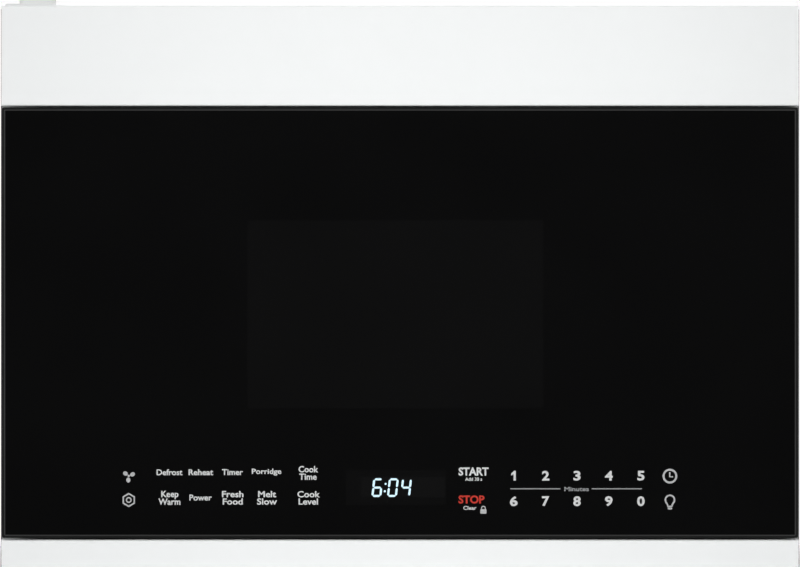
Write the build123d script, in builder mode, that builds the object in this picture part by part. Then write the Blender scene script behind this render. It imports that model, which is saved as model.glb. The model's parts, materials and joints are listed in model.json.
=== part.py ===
"""Over-the-range microwave oven of the narrow 24 inch class, as separate pieces.

Millimetres. X points right, Y towards the wall behind, Z up. The origin lies under the
centre of the base. The door hangs on the left and opens towards -Y.
"""

from build123d import *
import math
import os

os.makedirs("parts", exist_ok=True)

# ---- Cabinet ------------------------------------------------------------------------
WIDTH = 606.4  # outside the painted wrap
HEIGHT = 430.0  # base to top plate
DEPTH = 402.0  # wall face to door glass
SHEET = 1.0  # cabinet sheet steel
WRAP_BEND = 3.0  # outer bend radius of the wrap's top corners
REAR_FLANGE = 12.0  # inward flange of the wrap, where the back plate is screwed on
BACK_STEP = 3.0  # depth of the raised field of the back plate
BASE_T = 1.2  # base plate thickness
BASE_LIP = 12.0  # height of the base plate's upturned edge
TOUCH = 0.1  # clearance between fixed pieces that slip into each other

HALF = WIDTH / 2
FRONT = -DEPTH / 2
BACK = DEPTH / 2
INNER_HALF = HALF - SHEET
TOP_INSIDE = HEIGHT - SHEET
FLANGE_BACK = BACK - BACK_STEP - SHEET  # rear face of the wrap's flange

# ---- White mouldings above and below the door ---------------------------------------
TRIM_H = 25.4  # white strip below the door
GRILLE_H = 76.0  # white band above the door
MOULDING_T = 2.5  # wall of both mouldings
MOULDING_INSET = 1.0  # mouldings in from the cabinet's sides
MOULDING_HALF = HALF - MOULDING_INSET
MOULDING_SET_BACK = 1.5  # behind the glass
GRILLE_ROUND = 1.5  # rounded long edges of the band
GRILLE_INNER_ROUND = 2.0
TRIM_ROUND = 3.0
LOUVRE_COUNT = 36
LOUVRE_PITCH = 14.0
LOUVRE_W = 9.0
LOUVRE_L = 24.0
TAB_END = 52.2  # outer snap tabs from the band's ends
TAB_MIDDLE = 90.0  # inner snap tabs from the middle
GRILLE_TABS = (
    -MOULDING_HALF + TAB_END,
    -TAB_MIDDLE,
    TAB_MIDDLE,
    MOULDING_HALF - TAB_END,
)
TAB_W = 12.0
TAB_L = 5.0

# ---- Door ---------------------------------------------------------------------------
DOOR_DEPTH = 45.0  # glass front to the door's rear face
DOOR_GAP = 1.0  # rear face to front frame, door shut
DOOR_SEAM = 1.1  # between the glass and the white mouldings
SIDE_REVEAL = 1.5  # cabinet showing beside the glass
GLASS_T = 4.0
GLASS_BEVEL = 2.0
FRAME_INSET = 0.8  # door frame behind the edge of the glass
FRAME_WALL = 2.5
FRAME_CORNER = 10.0  # rear left corner, which swings past the cabinet
REAR_COVER_T = 2.0  # choke cover

FACE = FRONT + DOOR_DEPTH + DOOR_GAP  # front plane of the cabinet
FRAME_REAR = FACE + SHEET  # rear face of the front frame
DOOR_REAR = FRONT + DOOR_DEPTH
GLASS_REAR = FRONT + GLASS_T
GRILLE_LOW = HEIGHT - GRILLE_H
DOOR_LOW = TRIM_H + DOOR_SEAM
DOOR_HIGH = GRILLE_LOW - DOOR_SEAM
DOOR_MID = (DOOR_LOW + DOOR_HIGH) / 2
GLASS_HALF = HALF - SIDE_REVEAL
MOULDING_FRONT = FRONT + MOULDING_SET_BACK

# ---- Oven cavity --------------------------------------------------------------------
SIDE_DUCT = 63.2  # air duct between the cabinet's left side and the cavity
BAY_W = 131.2  # component bay, from the cavity to the cabinet's right side
REAR_GAP = 43.0  # cavity to wall face
BLOWER_SPACE = 117.0  # cavity to top plate
CAVITY_Z = 84.0  # upper face of the floor
CAVITY_T = 0.8
CAVITY_ROUND = 10.0  # inside radius of the upper corners

CAV_L = -HALF + SIDE_DUCT
CAV_R = HALF - BAY_W
CAVITY_X = (CAV_L + CAV_R) / 2
CAVITY_W = CAV_R - CAV_L
CAV_TOP = TOP_INSIDE - BLOWER_SPACE
CAVITY_H = CAV_TOP - CAVITY_Z
CAV_BACK = BACK - REAR_GAP
CAVITY_D = CAV_BACK - FRAME_REAR
CAV_MID_Y = (FRAME_REAR + CAV_BACK) / 2
BAY_L = CAV_R + CAVITY_T  # left limit of the component bay
ROOF = CAV_TOP + CAVITY_T  # outer face of the cavity's top

# ---- Turntable ----------------------------------------------------------------------
TRAY_MARGIN = 13.0  # tray to the cavity's front and rear
TRAY_R = CAVITY_D / 2 - TRAY_MARGIN
TRAY_T = 4.5
TRAY_RIM = 13.0  # height of the rim above the tray's underside
ROLLER_R = 8.0
ROLLER_W = 7.0
TRACK_INSET = 47.0  # roller track in from the tray's edge
TRACK_R = TRAY_R - TRACK_INSET
ROLL_GAP = 0.1  # roller to floor and roller to tray
AXLE_R = 1.5
RUN_FIT = 0.05  # radial clearance of pins and shafts in their bores
RING_T = 6.0
RING_H = 8.0
COUPLER_STEM_R = 5.5
COUPLER_ARM = 20.0
COUPLER_GAP = 0.3  # coupler to tray
SHAFT_HOLE_R = 9.0

# ---- Door hinge ---------------------------------------------------------------------
HINGE_INSET = 13.5  # pin axis from the cabinet's side
HINGE_AHEAD = 17.0  # pin axis ahead of the front frame
PIN_R = 3.0
PIN_L = 20.0
BRACKET_T = 2.5
TONGUE_W = 14.0
HINGE_NOTCH = 6.6  # height of the door's corner notch for the bracket
BRACKET_GAP = 1.0
BOSS_R = 8.0
HINGE_X = -HALF + HINGE_INSET
HINGE_Y = FACE - HINGE_AHEAD

# ---- Window, touch keys and display in the door -------------------------------------
WINDOW_X = -4.3
WINDOW_RAISE = 6.3  # above the middle of the door
WINDOW_Z = DOOR_MID + WINDOW_RAISE
WINDOW_W = 222.5
WINDOW_H = 142.5
BOARD_W = 430.0
BOARD_RAISE = 11.5  # above the lower edge of the glass
BOARD_TALL = 52.0
BOARD_LOW = DOOR_LOW + BOARD_RAISE
BOARD_HIGH = BOARD_LOW + BOARD_TALL
BOARD_T = 1.6
DISPLAY_X = -3.0
DISPLAY_Z = (BOARD_LOW + BOARD_HIGH) / 2 + 0.5
DISPLAY_W = 76.0
DISPLAY_H = 30.0
DISPLAY_T = 10.0

# ---- Latch --------------------------------------------------------------------------
LATCH_INSET = 37.2  # latch bar from the cabinet's right side
LATCH_X = HALF - LATCH_INSET
LATCH_W = 8.0
LOWER_HOOK = 99.5  # lower hook above the door's lower edge
UPPER_HOOK = 79.5  # upper hook below the door's upper edge
HOOK_ZS = (DOOR_LOW + LOWER_HOOK, DOOR_HIGH - UPPER_HOOK)  # underside of the shanks
LATCH_OVER = 18.0  # bar beyond the hooks
LATCH_LOW = HOOK_ZS[0] - LATCH_OVER
LATCH_HIGH = HOOK_ZS[1] + LATCH_OVER
HOOK_H = 9.0
HOOK_LIP = 3.0
HOOK_REACH = 27.0  # beyond the door's rear face
HOOK_T = 6.0
LATCH_LIFT = 3.0
SLOT_SIDE = 3.0  # slot clearance beside a hook
SLIDE_GAP = 0.3
LEDGE_GAP = 0.4  # hook lip to the ledge that it passes
PLUNGER_R = 1.6
PLUNGER_TRAVEL = 1.2
SPRING_R = 3.0
SPRING_WIRE_R = 0.45
SPRING_TURNS = 5

# ---- Grease filters and cooktop lamp in the base ------------------------------------
FILTER_W = 196.0
FILTER_L = 160.0
FILTER_SIDE = 36.2  # filter from the cabinet's side
FILTER_BEHIND = 22.0  # filter behind the lamp opening
FILTER_T = 9.0
FILTER_LIP = 4.0  # rest of the filter on the edge of its opening
FILTER_TRAVEL = 10.0  # pushed back this far, it clears the front lip and drops out
FILTER_EDGE = 8.0
GUIDE_H = 8.0
LAMP_BEHIND = 15.0  # lamp opening behind the front frame
LAMP_DEEP = 58.0
LAMP_HALF = 50.0
LAMP_GAP = 1.2
PIN_AHEAD = 5.0  # lamp cover's pins ahead of the opening's rear edge
LAMP_Y_FRONT = FACE + LAMP_BEHIND
LAMP_Y_BACK = LAMP_Y_FRONT + LAMP_DEEP
LAMP_PIN_Y = LAMP_Y_BACK - PIN_AHEAD
FILTER_X = INNER_HALF - FILTER_SIDE - FILTER_W / 2
FILTER_Y = LAMP_Y_BACK + FILTER_BEHIND + FILTER_L / 2
LAMP_PIN_Z = 4.0
LAMP_PIN_R = 1.0

# ---- Component bay ------------------------------------------------------------------
SHELF_Z = 62.0
SHELF_T = 1.0
SHELF_TOP = SHELF_Z + SHELF_T
GUIDE_DEPTH = 34.0  # waveguide, away from the cavity
GUIDE_HALF = 44.0
GUIDE_TALL = 122.0
PORT_HALF = 40.0  # port from the waveguide into the cavity
PORT_TALL = 40.0
MAG_DOWN = 62.0  # magnetron below the cavity's top
GUIDE_BELOW = 98.0  # lower end of the waveguide below the magnetron
PORT_BELOW = 90.0  # lower edge of the port below the magnetron
MAG_Z = CAV_TOP - MAG_DOWN
MAG_Y = CAV_MID_Y
GUIDE_LOW = MAG_Z - GUIDE_BELOW
PORT_LOW = MAG_Z - PORT_BELOW
MAG_X = BAY_L + GUIDE_DEPTH
YOKE_L = 63.2
YOKE_HALF = 42.6
YOKE_T = 1.6
MAGNET_R = 27.0
MAGNET_T = 12.0
ANODE_R = 20.0
ANTENNA_R = 8.0
ANTENNA_L = 20.0
FIN_COUNT = 6
FIN_T = 0.6
GUIDE_FLANGE = 8.0  # welding flange of the waveguide on the cavity's wall
POWER_X = (BAY_L + INNER_HALF) / 2  # capacitor and cooling fan
CORE_STACK = 58.0
CORE_LONG = 100.0
CORE_TALL = 82.0
CORE_LEG = 32.0
CORE_YOKE = 16.0
COIL_OUT = 15.0
COIL_BESIDE = 1.2  # windings to the waveguide's outer wall
CORE_X = MAG_X + COIL_BESIDE + COIL_OUT + CORE_STACK / 2
CAN_RIM_H = 3.0  # crimped rim of the capacitor's can
CAN_LONG = 52.0
CAN_WIDE = 34.0
CAN_TALL = 80.0
FAN_R = 44.0
FAN_DEPTH = 14.0
FAN_TIP_GAP = 3.0
FAN_DOWN = 62.0  # fan below the cavity's top
FAN_Z = CAV_TOP - FAN_DOWN
FAN_BLADES = 5

# ---- Ventilation blower above the cavity --------------------------------------------
BLOWER_AHEAD = 40.0  # blower shaft ahead of the cavity's rear
BLOWER_Y = CAV_BACK - BLOWER_AHEAD
SCROLL_ROOM = 7.0  # scroll to top plate
SCROLL_W = 96.0
SCROLL_T = 1.5
SCROLL_IN = 72.0  # inner end of each scroll from the middle
SCROLL_GROWTH = 5.4  # by which the scroll widens from its tongue to the outlet
OUTLET_LONG = 100.0
WHEEL_R = 42.0
WHEEL_BORE = 33.0  # inside the blades
WHEEL_W = 80.0
WHEEL_BLADES = 24
BLOWER_SHAFT_R = 4.0
MOTOR_R = 36.0
MOTOR_HALF = 38.0
TRAY_PLATE = 1.2
SCROLL_R = (TOP_INSIDE - SCROLL_ROOM - ROOF - TRAY_PLATE) / 2
BLOWER_Z = ROOF + TRAY_PLATE + SCROLL_R

# ---- Charcoal filter behind the band ------------------------------------------------
CHARCOAL_HALF = 200.0
CHARCOAL_UP = 5.4  # above the band's lower edge
CHARCOAL_DOWN = 6.0  # below the top
CHARCOAL_LOW = GRILLE_LOW + CHARCOAL_UP
CHARCOAL_HIGH = HEIGHT - CHARCOAL_DOWN
CHARCOAL_T = 12.0
CHARCOAL_EDGE = 6.0

# ---- Top plate ----------------------------------------------------------------------
DUCT_W = 254.0  # standard 3 1/4 by 10 inch duct
DUCT_L = 82.6
DUCT_AHEAD = 59.0  # middle of the duct from the wall
DUCT_Y = BACK - DUCT_AHEAD
COVER_EDGE = 10.0
BOLT_SPACING = 406.4  # 16 inch between the cabinet bolts
BOLT_BEHIND = 95.0  # cabinet bolts behind the front frame
BOLT_Y = FACE + BOLT_BEHIND
BOLT_HOLE_R = 3.3
NUT_R = 6.5
NUT_H = 5.5
BUSHING_SIDE = 13.2  # bushing from the cabinet's left side
BUSHING_W = 27.4
BUSHING_L = 40.0
BUSHING_BEHIND = 50.0  # behind the front frame
BUSHING_H = 8.6
BUSHING_WALL = 1.9  # spigot through the top plate
SKIRT_SIDE = 0.8
SKIRT_RUN = 35.2  # skirt to the right of the bushing
BUSHING_X0 = -HALF + BUSHING_SIDE
BUSHING_X1 = BUSHING_X0 + BUSHING_W
BUSHING_Y0 = FACE + BUSHING_BEHIND
BUSHING_Y1 = BUSHING_Y0 + BUSHING_L
SKIRT_LEFT = -HALF + SKIRT_SIDE
SKIRT_RIGHT = BUSHING_X1 + SKIRT_RUN
CORD_R = 4.4


def front(y):
    """Plane facing the front at depth y; its local axes are X and Z."""
    return Plane.XZ.offset(-y)


def side(x):
    """Plane facing right at x; its local axes are Y and Z."""
    return Plane.YZ.offset(x)


def level(z):
    """Horizontal plane at height z."""
    return Plane.XY.offset(z)


def rect(x0, x1, y0, y1, mode=Mode.ADD):
    """Rectangle between two corners of the sketch being drawn."""
    with Locations(((x0 + x1) / 2, (y0 + y1) / 2)):
        return Rectangle(x1 - x0, y1 - y0, mode=mode)


def block(xs, ys, zs, mode=Mode.ADD):
    """Box between two corners in the part being built."""
    middle = [(a + b) / 2 for a, b in (xs, ys, zs)]
    with Locations(tuple(middle)):
        return Box(xs[1] - xs[0], ys[1] - ys[0], zs[1] - zs[0], mode=mode)


# ======================================================================================
# Cabinet
# ======================================================================================
with BuildPart() as cabinet_wrap:
    with BuildSketch(front(FACE)) as wrap_outside:
        rect(-HALF, HALF, 0, HEIGHT)
        fillet(wrap_outside.vertices().group_by(Axis.Y)[-1], WRAP_BEND)
    extrude(amount=-(BACK - FACE))
    with BuildSketch(front(FACE)) as wrap_inside:
        rect(-INNER_HALF, INNER_HALF, 0, TOP_INSIDE)
        fillet(wrap_inside.vertices().group_by(Axis.Y)[-1], WRAP_BEND - SHEET)
    extrude(amount=-(BACK - FACE), mode=Mode.SUBTRACT)
    # Rear flange, open above the base plate.
    with BuildSketch(front(FLANGE_BACK - SHEET)):
        rect(-INNER_HALF, INNER_HALF, BASE_LIP + TOUCH, TOP_INSIDE)
        rect(
            -INNER_HALF + REAR_FLANGE,
            INNER_HALF - REAR_FLANGE,
            0,
            TOP_INSIDE - REAR_FLANGE,
            mode=Mode.SUBTRACT,
        )
    extrude(amount=-SHEET)
    # Duct opening, cabinet bolt holes and cord hole through the top.
    with BuildSketch(level(TOP_INSIDE)):
        with Locations((0, DUCT_Y)):
            Rectangle(DUCT_W, DUCT_L)
        with Locations((-BOLT_SPACING / 2, BOLT_Y), (BOLT_SPACING / 2, BOLT_Y)):
            Circle(BOLT_HOLE_R)
        with Locations(((BUSHING_X0 + BUSHING_X1) / 2, (BUSHING_Y0 + BUSHING_Y1) / 2)):
            Circle(CORD_R + BUSHING_WALL + TOUCH)
    extrude(amount=SHEET, mode=Mode.SUBTRACT)
    # Screw holes in the rear flange.
    SCREW_HOLE_R = 1.7
    SCREW_ROW = INNER_HALF - REAR_FLANGE / 2
    SCREW_TOP = TOP_INSIDE - REAR_FLANGE / 2
    SCREW_SPOTS = [
        (-SCREW_ROW, HEIGHT * 0.25),
        (-SCREW_ROW, HEIGHT * 0.65),
        (SCREW_ROW, HEIGHT * 0.25),
        (SCREW_ROW, HEIGHT * 0.65),
        (-WIDTH * 0.25, SCREW_TOP),
        (WIDTH * 0.25, SCREW_TOP),
    ]
    with BuildSketch(front(FLANGE_BACK - SHEET)):
        with Locations(*SCREW_SPOTS):
            Circle(SCREW_HOLE_R)
    extrude(amount=-SHEET, mode=Mode.SUBTRACT)
cabinet_wrap.part.label = "cabinet_wrap"
export_step(cabinet_wrap.part, "parts/cabinet_wrap.step")

# The raised field of the back plate is the face that lies on the wall.
FIELD_MARGIN = 26.0
FIELD_ROUND = 8.0
VENT_COUNT = 7
VENT_PITCH = 13.0
VENT_W = 84.0
VENT_H = 5.0
HOOK_SLOT_X = 150.0
HOOK_SLOT_Z = 48.0
HOOK_SLOT_W = 40.0
HOOK_SLOT_H = 6.0
with BuildPart() as back_plate:
    with BuildSketch(front(FLANGE_BACK)) as back_outline:
        rect(-INNER_HALF, INNER_HALF, 0, TOP_INSIDE)
        fillet(back_outline.vertices().group_by(Axis.Y)[-1], WRAP_BEND - SHEET)
    extrude(amount=-SHEET)
    with BuildSketch(front(FLANGE_BACK)) as field_outside:
        rect(
            -INNER_HALF + FIELD_MARGIN,
            INNER_HALF - FIELD_MARGIN,
            FIELD_MARGIN,
            TOP_INSIDE - FIELD_MARGIN,
        )
        fillet(field_outside.vertices(), FIELD_ROUND)
    extrude(amount=-(BACK - FLANGE_BACK))
    with BuildSketch(front(FLANGE_BACK)) as field_inside:
        rect(
            -INNER_HALF + FIELD_MARGIN + SHEET,
            INNER_HALF - FIELD_MARGIN - SHEET,
            FIELD_MARGIN + SHEET,
            TOP_INSIDE - FIELD_MARGIN - SHEET,
        )
        fillet(field_inside.vertices(), FIELD_ROUND - SHEET)
    extrude(amount=-(BACK_STEP), mode=Mode.SUBTRACT)
    # Air inlet behind the cooling fan, hook slots for the wall plate, screw holes.
    with BuildSketch(front(BACK - SHEET)):
        with Locations((POWER_X - VENT_PITCH / 2, FAN_Z)):
            with GridLocations(0, VENT_PITCH, 1, VENT_COUNT):
                SlotOverall(VENT_W, VENT_H)
        with Locations((-HOOK_SLOT_X, HOOK_SLOT_Z), (HOOK_SLOT_X, HOOK_SLOT_Z)):
            Rectangle(HOOK_SLOT_W, HOOK_SLOT_H)
    extrude(amount=-SHEET, mode=Mode.SUBTRACT)
    with BuildSketch(front(FLANGE_BACK)):
        with Locations(*SCREW_SPOTS):
            Circle(SCREW_HOLE_R)
    extrude(amount=-SHEET, mode=Mode.SUBTRACT)
back_plate.part.label = "back_plate"
export_step(back_plate.part, "parts/back_plate.step")

SCREW_HEAD_R = 3.6
SCREW_HEAD_H = 1.8
SCREW_L = 5.0
with BuildPart() as back_screws:
    with BuildSketch(front(FLANGE_BACK + SHEET)):
        with Locations(*SCREW_SPOTS):
            RegularPolygon(SCREW_HEAD_R, 6)
    extrude(amount=-SCREW_HEAD_H)
    with BuildSketch(front(FLANGE_BACK + SHEET)):
        with Locations(*SCREW_SPOTS):
            Circle(SCREW_HOLE_R - TOUCH)
    extrude(amount=SCREW_L)
    chamfer(back_screws.faces().sort_by(Axis.Y)[-6:].edges(), SCREW_HEAD_H / 2)
back_screws.part.label = "back_screws"
export_step(back_screws.part, "parts/back_screws.step")

with BuildPart() as mounting_nuts:
    with BuildSketch(level(TOP_INSIDE)):
        with Locations((-BOLT_SPACING / 2, BOLT_Y), (BOLT_SPACING / 2, BOLT_Y)):
            RegularPolygon(NUT_R, 6)
            Circle(BOLT_HOLE_R, mode=Mode.SUBTRACT)
    extrude(amount=-NUT_H)
mounting_nuts.part.label = "mounting_nuts"
export_step(mounting_nuts.part, "parts/mounting_nuts.step")

# Blanking plate under the duct opening; a shallow pressed field fills the opening.
with BuildPart() as duct_cover:
    with BuildSketch(level(TOP_INSIDE - SHEET)):
        with Locations((0, DUCT_Y)):
            Rectangle(DUCT_W + 2 * COVER_EDGE, DUCT_L + 2 * COVER_EDGE)
    extrude(amount=SHEET)
    with BuildSketch(level(TOP_INSIDE)):
        with Locations((0, DUCT_Y)):
            Rectangle(DUCT_W - 2 * TOUCH, DUCT_L - 2 * TOUCH)
    extrude(amount=SHEET / 2)
duct_cover.part.label = "duct_cover"
export_step(duct_cover.part, "parts/duct_cover.step")

# Cord bushing: a rounded housing on a low skirt, with a vertical way for the cord.
SKIRT_H_LEFT = 2.7
SKIRT_H_RIGHT = 1.5
SKIRT_LIP = 0.2
BUSHING_ROUND = 3.0
with BuildPart() as cord_bushing:
    with BuildSketch(front(BUSHING_Y0)):
        with BuildLine():
            Polyline(
                (SKIRT_LEFT, HEIGHT),
                (SKIRT_LEFT, HEIGHT + SKIRT_LIP),
                (SKIRT_LEFT + SKIRT_H_LEFT, HEIGHT + SKIRT_H_LEFT),
                (BUSHING_X0, HEIGHT + SKIRT_H_LEFT),
                (BUSHING_X1, HEIGHT + SKIRT_H_RIGHT),
                (SKIRT_RIGHT, HEIGHT + SKIRT_LIP),
                (SKIRT_RIGHT, HEIGHT),
                close=True,
            )
        make_face()
    extrude(amount=-(BUSHING_Y1 - BUSHING_Y0))
    with BuildSketch(level(HEIGHT)) as bushing_plan:
        rect(BUSHING_X0, BUSHING_X1, BUSHING_Y0, BUSHING_Y1)
        fillet(bushing_plan.vertices(), BUSHING_ROUND)
    extrude(amount=BUSHING_H)
    fillet(cord_bushing.faces().sort_by(Axis.Z)[-1].edges(), BUSHING_ROUND / 2)
    # Spigot through the top plate, and the cord's way through both.
    with BuildSketch(level(TOP_INSIDE)):
        with Locations(((BUSHING_X0 + BUSHING_X1) / 2, (BUSHING_Y0 + BUSHING_Y1) / 2)):
            Circle(CORD_R + BUSHING_WALL)
    extrude(amount=SHEET)
    with BuildSketch(level(TOP_INSIDE)):
        with Locations(((BUSHING_X0 + BUSHING_X1) / 2, (BUSHING_Y0 + BUSHING_Y1) / 2)):
            Circle(CORD_R)
    extrude(amount=SHEET + BUSHING_H, mode=Mode.SUBTRACT)
cord_bushing.part.label = "cord_bushing"
export_step(cord_bushing.part, "parts/cord_bushing.step")

# Base plate: a shallow tray with two filter openings and a lamp opening.
LUG_IN = 45.0  # inner face of the lamp cover's lugs
LUG_T = 3.0
LUG_H = 6.0
with BuildPart() as base_plate:
    block((-INNER_HALF, INNER_HALF), (FACE, FLANGE_BACK), (0, BASE_LIP))
    block(
        (-INNER_HALF + SHEET, INNER_HALF - SHEET),
        (FACE + SHEET, FLANGE_BACK - SHEET),
        (BASE_T, BASE_LIP),
        mode=Mode.SUBTRACT,
    )
    for sign in (-1, 1):
        x_mid = sign * FILTER_X
        x_span = FILTER_W / 2
        y_front = FILTER_Y - FILTER_L / 2
        y_back = FILTER_Y + FILTER_L / 2
        # Upturned guides round the filter, with room behind it for its travel.
        with BuildSketch(level(BASE_T)):
            rect(
                x_mid - x_span - 2 * SHEET,
                x_mid + x_span + 2 * SHEET,
                y_front - 2 * SHEET,
                y_back + FILTER_TRAVEL + 2 * SHEET,
            )
            rect(
                x_mid - x_span - SHEET,
                x_mid + x_span + SHEET,
                y_front - SHEET,
                y_back + FILTER_TRAVEL + SHEET,
                mode=Mode.SUBTRACT,
            )
        extrude(amount=GUIDE_H)
        with BuildSketch(level(0)):
            rect(
                x_mid - x_span + FILTER_LIP,
                x_mid + x_span - FILTER_LIP,
                y_front + FILTER_LIP,
                y_back - FILTER_LIP,
            )
        extrude(amount=BASE_T, mode=Mode.SUBTRACT)
    with BuildSketch(level(0)):
        rect(-LAMP_HALF, LAMP_HALF, LAMP_Y_FRONT, LAMP_Y_BACK)
    extrude(amount=BASE_T, mode=Mode.SUBTRACT)
    # Two lugs that carry the lamp cover's pins.
    for x_lug in (-LUG_IN - LUG_T, LUG_IN):
        with BuildSketch(side(x_lug)):
            rect(LAMP_PIN_Y - LUG_T, LAMP_Y_BACK + 2 * LUG_T, BASE_T, BASE_T + LUG_H)
            with Locations((LAMP_PIN_Y, LAMP_PIN_Z)):
                Circle(LAMP_PIN_R + RUN_FIT, mode=Mode.SUBTRACT)
        extrude(amount=LUG_T)
base_plate.part.label = "base_plate"
export_step(base_plate.part, "parts/base_plate.step")

# ======================================================================================
# White mouldings
# ======================================================================================
with BuildPart() as lower_trim:
    with BuildSketch(side(-MOULDING_HALF)) as trim_profile:
        rect(MOULDING_FRONT, FACE, 0, TRIM_H)
        fillet(trim_profile.vertices().group_by(Axis.X)[0], TRIM_ROUND)
    extrude(amount=2 * MOULDING_HALF)
    with BuildSketch(side(-MOULDING_HALF + MOULDING_T)) as trim_hollow:
        rect(MOULDING_FRONT + MOULDING_T, FACE, MOULDING_T, TRIM_H - MOULDING_T)
        fillet(trim_hollow.vertices().group_by(Axis.X)[0], TRIM_ROUND - SHEET)
    extrude(amount=2 * (MOULDING_HALF - MOULDING_T), mode=Mode.SUBTRACT)
    # Stiffening ribs inside.
    RIB_COUNT = 5
    RIB_PITCH = 2 * MOULDING_HALF / (RIB_COUNT + 1)
    for number in range(1, RIB_COUNT + 1):
        rib_x = -MOULDING_HALF + number * RIB_PITCH
        block(
            (rib_x - SHEET, rib_x + SHEET),
            (MOULDING_FRONT + MOULDING_T - SHEET, FACE),
            (MOULDING_T - SHEET, TRIM_H - MOULDING_T + SHEET),
        )
lower_trim.part.label = "lower_trim"
export_step(lower_trim.part, "parts/lower_trim.step")

with BuildPart() as vent_grille:
    with BuildSketch(side(-MOULDING_HALF)) as grille_profile:
        rect(MOULDING_FRONT, FACE, GRILLE_LOW, HEIGHT)
        fillet(grille_profile.vertices().group_by(Axis.X)[0], GRILLE_ROUND)
    extrude(amount=2 * MOULDING_HALF)
    with BuildSketch(side(-MOULDING_HALF + MOULDING_T)) as grille_hollow:
        rect(
            MOULDING_FRONT + MOULDING_T,
            FACE,
            GRILLE_LOW + MOULDING_T,
            HEIGHT - MOULDING_T,
        )
        fillet(
            grille_hollow.vertices().group_by(Axis.X)[0],
            GRILLE_INNER_ROUND,
        )
    extrude(amount=2 * (MOULDING_HALF - MOULDING_T), mode=Mode.SUBTRACT)
    # Air louvres in the top, out of sight from the front.
    LOUVRE_Y = MOULDING_FRONT + GRILLE_ROUND + 2 * MOULDING_T + LOUVRE_L / 2
    with BuildSketch(level(HEIGHT)):
        with Locations((0, LOUVRE_Y)):
            with GridLocations(LOUVRE_PITCH, 0, LOUVRE_COUNT, 1):
                Rectangle(LOUVRE_W, LOUVRE_L)
    extrude(amount=-MOULDING_T, mode=Mode.SUBTRACT)
    # Snap tabs through the front frame.
    for tab_x in GRILLE_TABS:
        block(
            (tab_x - TAB_W / 2, tab_x + TAB_W / 2),
            (FACE - MOULDING_T, FACE + TAB_L),
            (GRILLE_LOW, GRILLE_LOW + MOULDING_T),
        )
vent_grille.part.label = "vent_grille"
export_step(vent_grille.part, "parts/vent_grille.step")

with BuildPart() as charcoal_filter_frame:
    with BuildSketch(front(FACE - CHARCOAL_T)):
        rect(-CHARCOAL_HALF, CHARCOAL_HALF, CHARCOAL_LOW, CHARCOAL_HIGH)
        rect(
            -CHARCOAL_HALF + CHARCOAL_EDGE,
            CHARCOAL_HALF - CHARCOAL_EDGE,
            CHARCOAL_LOW + CHARCOAL_EDGE,
            CHARCOAL_HIGH - CHARCOAL_EDGE,
            mode=Mode.SUBTRACT,
        )
    extrude(amount=-CHARCOAL_T)
    # Cross bars that hold the media back.
    BAR_COUNT = 7
    BAR_PITCH = 2 * CHARCOAL_HALF / (BAR_COUNT + 1)
    with BuildSketch(front(FACE - CHARCOAL_T)):
        with Locations((0, (CHARCOAL_LOW + CHARCOAL_HIGH) / 2)):
            with GridLocations(BAR_PITCH, 0, BAR_COUNT, 1):
                Rectangle(
                    MOULDING_T, CHARCOAL_HIGH - CHARCOAL_LOW - 2 * CHARCOAL_EDGE
                )
    extrude(amount=-MOULDING_T)
charcoal_filter_frame.part.label = "charcoal_filter_frame"
export_step(charcoal_filter_frame.part, "parts/charcoal_filter_frame.step")

with BuildPart() as charcoal_filter_media:
    with BuildSketch(front(FACE - CHARCOAL_T + MOULDING_T)):
        rect(
            -CHARCOAL_HALF + CHARCOAL_EDGE,
            CHARCOAL_HALF - CHARCOAL_EDGE,
            CHARCOAL_LOW + CHARCOAL_EDGE,
            CHARCOAL_HIGH - CHARCOAL_EDGE,
        )
    extrude(amount=-(CHARCOAL_T - 2 * MOULDING_T))
charcoal_filter_media.part.label = "charcoal_filter_media"
export_step(charcoal_filter_media.part, "parts/charcoal_filter_media.step")

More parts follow.
